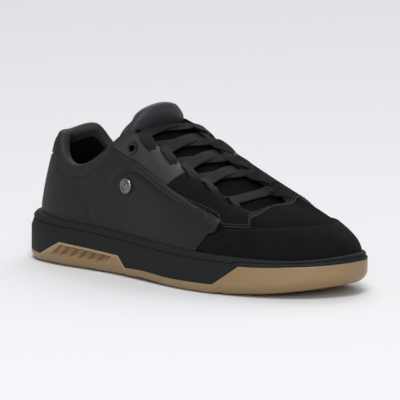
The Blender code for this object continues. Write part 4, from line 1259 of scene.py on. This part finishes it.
def add_node(tree, kind, inputs=(), **settings):
    """Adds a node, with its settings and with its inputs filled or linked."""
    node = tree.nodes.new(kind)
    for name, value in settings.items():
        setattr(node, name, value)
    for socket, value in inputs:
        if isinstance(value, bpy.types.NodeSocket):
            tree.links.new(value, node.inputs[socket])
        else:
            node.inputs[socket].default_value = value
    return node


def start_material(name):
    """A material's tree and shader, and its object coordinates."""
    material = bpy.data.materials.new(name)
    material.use_nodes = True
    tree = material.node_tree
    shader = tree.nodes["Principled BSDF"]
    coordinates = add_node(tree, "ShaderNodeTexCoord")
    return tree, shader, coordinates


def noise(tree, at, size, detail, roughness=0.5, distortion=0.0):
    """Soft noise on object coordinates, its features of a size in millimetres."""
    return add_node(tree, "ShaderNodeTexNoise", [
        ("Vector", at.outputs["Object"]), ("Scale", per_metre(size)), ("Detail", detail),
        ("Roughness", roughness), ("Distortion", distortion)]).outputs["Fac"]


def per_metre(millimetres):
    """Pattern scale on object coordinates for a feature of this size."""
    return 1 / (millimetres * MILLIMETRE)


def combine(tree, operation, *values):
    """The result of a sum or product of patterns and numbers."""
    return add_node(tree, "ShaderNodeMath", list(enumerate(values)), operation=operation).outputs[0]


def stretch(tree, value, low, high):
    """A pattern whose range between two values is stretched to run from 0 to 1."""
    inputs = [("Value", value), ("From Min", low), ("From Max", high)]
    return add_node(tree, "ShaderNodeMapRange", inputs).outputs["Result"]


def shade(tree, shader, factor, colour, low, high):
    """Base colour between a darker and a lighter tone of a colour by a pattern."""
    dark, light = ((*tone(colour, share), 1) for share in (low, high))
    mix = add_node(tree, "ShaderNodeMix", [("Factor", factor), (6, dark), (7, light)], data_type="RGBA")
    tree.links.new(mix.outputs[2], shader.inputs["Base Color"])


def rough(tree, shader, factor, low, high):
    """Roughness between two values by a pattern."""
    spread = add_node(tree, "ShaderNodeMapRange", [("Value", factor), ("To Min", low), ("To Max", high)])
    tree.links.new(spread.outputs["Result"], shader.inputs["Roughness"])


def bump(tree, shader, height, depth, strength, under=None):
    """Relief of a depth in millimetres from a pattern, over an earlier one."""
    inputs = [("Height", height), ("Distance", depth * MILLIMETRE), ("Strength", strength)]
    if under:
        inputs.append(("Normal", under.outputs["Normal"]))
    node = add_node(tree, "ShaderNodeBump", inputs)
    tree.links.new(node.outputs["Normal"], shader.inputs["Normal"])
    return node


def settle(shader, **values):
    """Sets plain values on a shader's sockets, named in lower case."""
    names = {"specular": "Specular IOR Level", "coat": "Coat Weight", "coat_roughness": "Coat Roughness",
             "roughness": "Roughness", "metallic": "Metallic", "sheen": "Sheen Weight",
             "sheen_roughness": "Sheen Roughness", "sheen_tint": "Sheen Tint"}
    for name, value in values.items():
        shader.inputs[names[name]].default_value = value


def tone(colour, factor):
    """A darker or lighter tone of a colour."""
    return tuple(min(1.0, c * factor) for c in colour)


def gum_material(name, colour):
    """Moulded gum rubber: warm tan, faintly cloudy, with a soft satin skin."""
    tree, shader, at = start_material(name)
    grain = noise(tree, at, 0.7, 3.0)
    shade(tree, shader, noise(tree, at, 22.0, 4.0, 0.6), colour, 0.86, 1.12)
    rough(tree, shader, grain, 0.40, 0.58)
    bump(tree, shader, grain, 0.06, 0.6)
    settle(shader, specular=0.5, coat=0.3, coat_roughness=0.3)


def rubber_material(colour):
    """Moulded black rubber: matte, with the fine grain of a blasted mould."""
    tree, shader, at = start_material("Black cupsole rubber")
    grain = noise(tree, at, 0.6, 3.0, 0.7)
    shade(tree, shader, noise(tree, at, 35.0, 3.0), colour, 0.85, 1.2)
    rough(tree, shader, grain, 0.55, 0.75)
    bump(tree, shader, grain, 0.08, 0.7)
    settle(shader, specular=0.15)


def leather_material(name, colour, grain_size, gloss):
    """Corrected-grain leather: fine pebbles between shallow creases, under a thin satin finish."""
    tree, shader, at = start_material(name)
    pebble = add_node(tree, "ShaderNodeTexVoronoi", [
        ("Vector", at.outputs["Object"]), ("Scale", per_metre(grain_size)), ("Randomness", 1.0)],
        feature="SMOOTH_F1")
    patches = noise(tree, at, 9.0, 3.0)
    shade(tree, shader, patches, colour, 0.86, 1.16)
    rough(tree, shader, patches, gloss - 0.05, gloss + 0.07)
    pebbled = bump(tree, shader, pebble.outputs["Distance"], -0.10, 0.55)
    bump(tree, shader, noise(tree, at, 0.35, 2.0), 0.04, 0.5, pebbled)
    settle(shader, specular=0.2, coat=0.06, coat_roughness=0.35)


def nap_material(name, colour, nap, contrast, sheen):
    """Brushed hide: short fibres that scatter light softly, brushed darker and lighter in patches."""
    tree, shader, at = start_material(name)
    fibre = noise(tree, at, nap, 4.0, 0.75)
    brushed = combine(tree, "MULTIPLY", noise(tree, at, 14.0, 5.0, 0.62, 0.8), fibre)
    shade(tree, shader, stretch(tree, brushed, 0.12, 0.42), colour, 1 - contrast, 1 + contrast)
    bump(tree, shader, fibre, 0.22, 0.7)
    settle(shader, roughness=0.95, specular=0.1, sheen=sheen, sheen_roughness=0.55,
           sheen_tint=(*tone(colour, 6.0), 1))


def weave_material(name, colour, thread, depth, roughness, sheen, specular):
    """Woven cloth: over and under threads in two directions, drawn on the piece's own unrolled surface."""
    tree, shader, at = start_material(name)
    scale = 1 / (thread * UV_UNIT)
    size = add_node(tree, "ShaderNodeMapping", [("Vector", at.outputs["UV"]), ("Scale", (scale,) * 3)])
    axes = add_node(tree, "ShaderNodeSeparateXYZ", [("Vector", size.outputs["Vector"])])
    waves = [combine(tree, "SINE", combine(tree, "MULTIPLY", axes.outputs[socket], math.pi))
             for socket in ("X", "Y")]
    lift = combine(tree, "ADD", combine(tree, "MULTIPLY", *waves), noise(tree, at, 0.5, 3.0))
    shade(tree, shader, stretch(tree, lift, -0.5, 1.5), colour, 0.65, 1.3)
    bump(tree, shader, lift, depth, 0.6)
    settle(shader, roughness=roughness, specular=specular, sheen=sheen, sheen_roughness=0.4)


def steel_material(name, colour, roughness):
    """Turned steel: faint marks of the tool and a satin shine."""
    tree, shader, at = start_material(name)
    marks = noise(tree, at, 0.8, 4.0)
    shade(tree, shader, marks, colour, 0.8, 1.1)
    rough(tree, shader, marks, roughness - 0.06, roughness + 0.1)
    settle(shader, metallic=1.0)


def floor_material(colour):
    """Pale studio paper: even and matte."""
    tree, shader, at = start_material("Studio paper")
    shade(tree, shader, noise(tree, at, 400.0, 2.0), colour, 0.995, 1.005)
    settle(shader, roughness=0.9, specular=0.1)


# Add-on

def colour_property(name, description, code):
    """A colour that a user can change, from its sRGB hex value."""
    return FloatVectorProperty(name=name, description=description, subtype="COLOR", size=3, min=0, max=1,
                               default=linear(code))


class SneakerSizes(bpy.types.PropertyGroup):
    """Sizes a user would change."""
    lace_width: FloatProperty(name="Lace width", description="Width of the flat lace", default=0.0094,
                              unit="LENGTH")
    lace_thickness: FloatProperty(name="Lace thickness", description="Thickness of the flat lace",
                                  default=0.0013, unit="LENGTH")
    stitch_pitch: FloatProperty(name="Stitch pitch", description="Distance from one stitch to the next",
                                default=0.0029, unit="LENGTH")
    stitch_length: FloatProperty(name="Stitch length", description="Thread that shows in one stitch",
                                 default=0.0021, unit="LENGTH")
    thread: FloatProperty(name="Thread", description="Thickness of the sewing thread", default=0.0007,
                          unit="LENGTH")


class SneakerColours(bpy.types.PropertyGroup):
    """Colours a user would change."""
    gum: colour_property("Gum", "Outsole rubber", "#8a6f4b")
    rubber: colour_property("Rubber", "Cupsole rubber", "#1e1f20")
    leather: colour_property("Leather", "Smooth leather of quarters and heel tab", "#1d1f1f")
    # Lighter than the smooth leather: painted light on the up-facing eyestays
    eyestay: colour_property("Eyestay", "Leather of the eyestays", "#343334")
    collar: colour_property("Collar", "Leather of the padded collar", "#232424")
    suede: colour_property("Suede", "Suede of saddle and mudguard", "#111111")
    nubuck: colour_property("Nubuck", "Nubuck of the toe box", "#07080a")
    satin: colour_property("Satin", "Cloth of the tongue", "#323336")
    lining: colour_property("Lining", "Cloth inside the shoe", "#0b0b0c")
    lace: colour_property("Lace", "Woven lace", "#171718")
    # Paler than the panels: the raw edge's lighter tone and a painted highlight along it
    edge: colour_property("Cut edge and highlight", "Raw edge of the cut panels", "#424242")
    thread: colour_property("Thread", "Pale sewing thread", "#3c3d3e")
    steel: colour_property("Steel", "Badge and rings", "#7b7d7f")
    paper: colour_property("Paper", "Studio floor", "#dfe0e2")


# Edge lines of the panels, left by their operator for the thread's
STITCH_ROWS = {}


class SNEAKER_OT_materials(bpy.types.Operator):
    """Makes the shoe's finishes"""
    bl_idname = "sneaker.materials"
    bl_label = "Finishes"

    def execute(self, context):
        colours = context.scene.sneaker_colours
        gum_material("Gum rubber", colours.gum)
        # Paler gum for the window frames: a painted highlight
        gum_material("Gum frame highlight", tone(colours.gum, 1.35))
        rubber_material(colours.rubber)
        leather_material("Smooth leather", colours.leather, grain_size=1.1, gloss=0.55)
        # Lighter copy of the smooth leather: painted light on the eyestays
        leather_material("Lit eyestay leather", colours.eyestay, grain_size=1.1, gloss=0.5)
        leather_material("Collar leather", colours.collar, grain_size=0.9, gloss=0.65)
        nap_material("Suede", colours.suede, nap=0.55, contrast=0.45, sheen=0.2)
        nap_material("Nubuck", colours.nubuck, nap=0.4, contrast=0.25, sheen=0.05)
        # Paler edge finish: lighter raw edge and a painted highlight along it
        nap_material("Cut edge and highlight", colours.edge, nap=0.4, contrast=0.3, sheen=0.1)
        for name, colour, *cloth in (
                # name, colour, thread and depth in millimetres, roughness, sheen, specular
                ("Tongue satin", colours.satin, 0.7, 0.05, 0.42, 0.06, 0.2),
                # Darker than the lining: painted shade on the lower tongue
                ("Tongue mesh", tone(colours.lining, 0.4), 1.0, 0.2, 0.8, 0.0, 0.04),
                ("Lining cloth", colours.lining, 1.2, 0.2, 0.85, 0.0, 0.04),
                ("Lace weave", colours.lace, 0.9, 0.25, 0.8, 0.05, 0.15),
                ("Pale thread", colours.thread, 0.5, 0.1, 0.6, 0.1, 0.15),
                ("Dark thread", colours.lace, 0.5, 0.1, 0.6, 0.1, 0.15)):
            weave_material(name, colour, *cloth)
        steel_material("Bright steel", colours.steel, roughness=0.28)
        steel_material("Dark steel", tone(colours.steel, 0.3), roughness=0.2)
        floor_material(colours.paper)
        return {"FINISHED"}


class SNEAKER_OT_sole(bpy.types.Operator):
    """Builds the gum outsole, the cupsole and the footbed"""
    bl_idname = "sneaker.sole"
    bl_label = "Sole"

    def execute(self, context):
        make_outsole()
        make_midsole()
        make_insole()
        return {"FINISHED"}


class SNEAKER_OT_upper(bpy.types.Operator):
    """Builds the hollow upper and its padded collar"""
    bl_idname = "sneaker.upper"
    bl_label = "Upper"

    def execute(self, context):
        make_upper()
        make_collar()
        return {"FINISHED"}


class SNEAKER_OT_panels(bpy.types.Operator):
    """Builds the leather and suede panels and the padded rolls"""
    bl_idname = "sneaker.panels"
    bl_label = "Panels"

    def execute(self, context):
        STITCH_ROWS.update(make_panels())
        for name, side in SIDES:
            make_roll(name, side)
        return {"FINISHED"}


class SNEAKER_OT_tongue(bpy.types.Operator):
    """Builds the padded tongue"""
    bl_idname = "sneaker.tongue"
    bl_label = "Tongue"

    def execute(self, context):
        make_tongue()
        return {"FINISHED"}


class SNEAKER_OT_lace(bpy.types.Operator):
    """Builds the flat lace"""
    bl_idname = "sneaker.lace"
    bl_label = "Lace"

    def execute(self, context):
        make_lace(context.scene.sneaker_sizes)
        return {"FINISHED"}


class SNEAKER_OT_hardware(bpy.types.Operator):
    """Builds the eyelet rings and the badge"""
    bl_idname = "sneaker.hardware"
    bl_label = "Hardware"

    def execute(self, context):
        make_hardware()
        return {"FINISHED"}


class SNEAKER_OT_thread(bpy.types.Operator):
    """Sews the panels' edges"""
    bl_idname = "sneaker.thread"
    bl_label = "Thread"

    def execute(self, context):
        if not STITCH_ROWS:
            raise RuntimeError("the panels come before their thread")
        for name, finish, seams in THREADS:
            rows = [STITCH_ROWS[panel][edge] for panel, edge in seams]
            make_stitches(context.scene.sneaker_sizes, name, finish, rows)
        return {"FINISHED"}


class SNEAKER_OT_stage(bpy.types.Operator):
    """Sets the pale floor, the soft lights and the camera"""
    bl_idname = "sneaker.stage"
    bl_label = "Stage"

    def execute(self, context):
        scene = context.scene
        bm = bmesh.new()
        bmesh.ops.create_grid(bm, x_segments=8, y_segments=8, size=FLOOR_REACH)
        add_object("floor", bm, ["Studio paper"])
        world = bpy.data.worlds.new("Studio")
        world.use_nodes = True
        background = world.node_tree.nodes["Background"]
        background.inputs["Color"].default_value = (*linear(SKY), 1)
        background.inputs["Strength"].default_value = SKY_STRENGTH
        scene.world = world
        scene.view_settings.view_transform = "Standard"
        for name, spot, size, power in LIGHTS:
            data = bpy.data.lights.new(name, "AREA")
            data.size = size
            data.energy = power
            light = bpy.data.objects.new(name, data)
            light.location = spot
            light.rotation_euler = (Vector(LIGHT_AIM) - Vector(spot)).to_track_quat("-Z", "Y").to_euler()
            scene.collection.objects.link(light)
        turn, tilt = math.radians(CAMERA_AZIMUTH), math.radians(CAMERA_ELEVATION)
        back = Vector((math.sin(turn) * math.cos(tilt), -math.cos(turn) * math.cos(tilt), math.sin(tilt)))
        data = bpy.data.cameras.new("Camera")
        data.lens = CAMERA_LENS
        camera = bpy.data.objects.new("Camera", data)
        camera.location = Vector(CAMERA_TARGET) + back * CAMERA_DISTANCE
        camera.rotation_euler = (-back).to_track_quat("-Z", "Y").to_euler()
        scene.collection.objects.link(camera)
        scene.camera = camera
        return {"FINISHED"}


class SNEAKER_PT_panel(bpy.types.Panel):
    """Sizes, colours and building steps of the sneaker"""
    bl_idname = "SNEAKER_PT_panel"
    bl_label = "Skate sneaker"
    bl_space_type = "VIEW_3D"
    bl_region_type = "UI"
    bl_category = "Sneaker"

    def draw(self, context):
        for group in (context.scene.sneaker_sizes, context.scene.sneaker_colours):
            for name in group.__annotations__:
                self.layout.prop(group, name)
        for step in STEPS:
            self.layout.operator(step.bl_idname)


STEPS = (SNEAKER_OT_materials, SNEAKER_OT_sole, SNEAKER_OT_upper, SNEAKER_OT_panels, SNEAKER_OT_tongue,
         SNEAKER_OT_lace, SNEAKER_OT_hardware, SNEAKER_OT_thread, SNEAKER_OT_stage)
CLASSES = (SneakerSizes, SneakerColours, *STEPS, SNEAKER_PT_panel)


def register():
    """Makes the classes and their values known to Blender."""
    for kind in CLASSES:
        bpy.utils.register_class(kind)
    bpy.types.Scene.sneaker_sizes = PointerProperty(type=SneakerSizes)
    bpy.types.Scene.sneaker_colours = PointerProperty(type=SneakerColours)


def unregister():
    """Takes the classes and their values out again."""
    del bpy.types.Scene.sneaker_sizes
    del bpy.types.Scene.sneaker_colours
    for kind in reversed(CLASSES):
        bpy.utils.unregister_class(kind)


def main():
    """Builds the shoe and its stage step by step."""
    register()
    for step in STEPS:
        group, name = step.bl_idname.split(".")
        getattr(getattr(bpy.ops, group), name)()


if __name__ == "__main__":
    main()
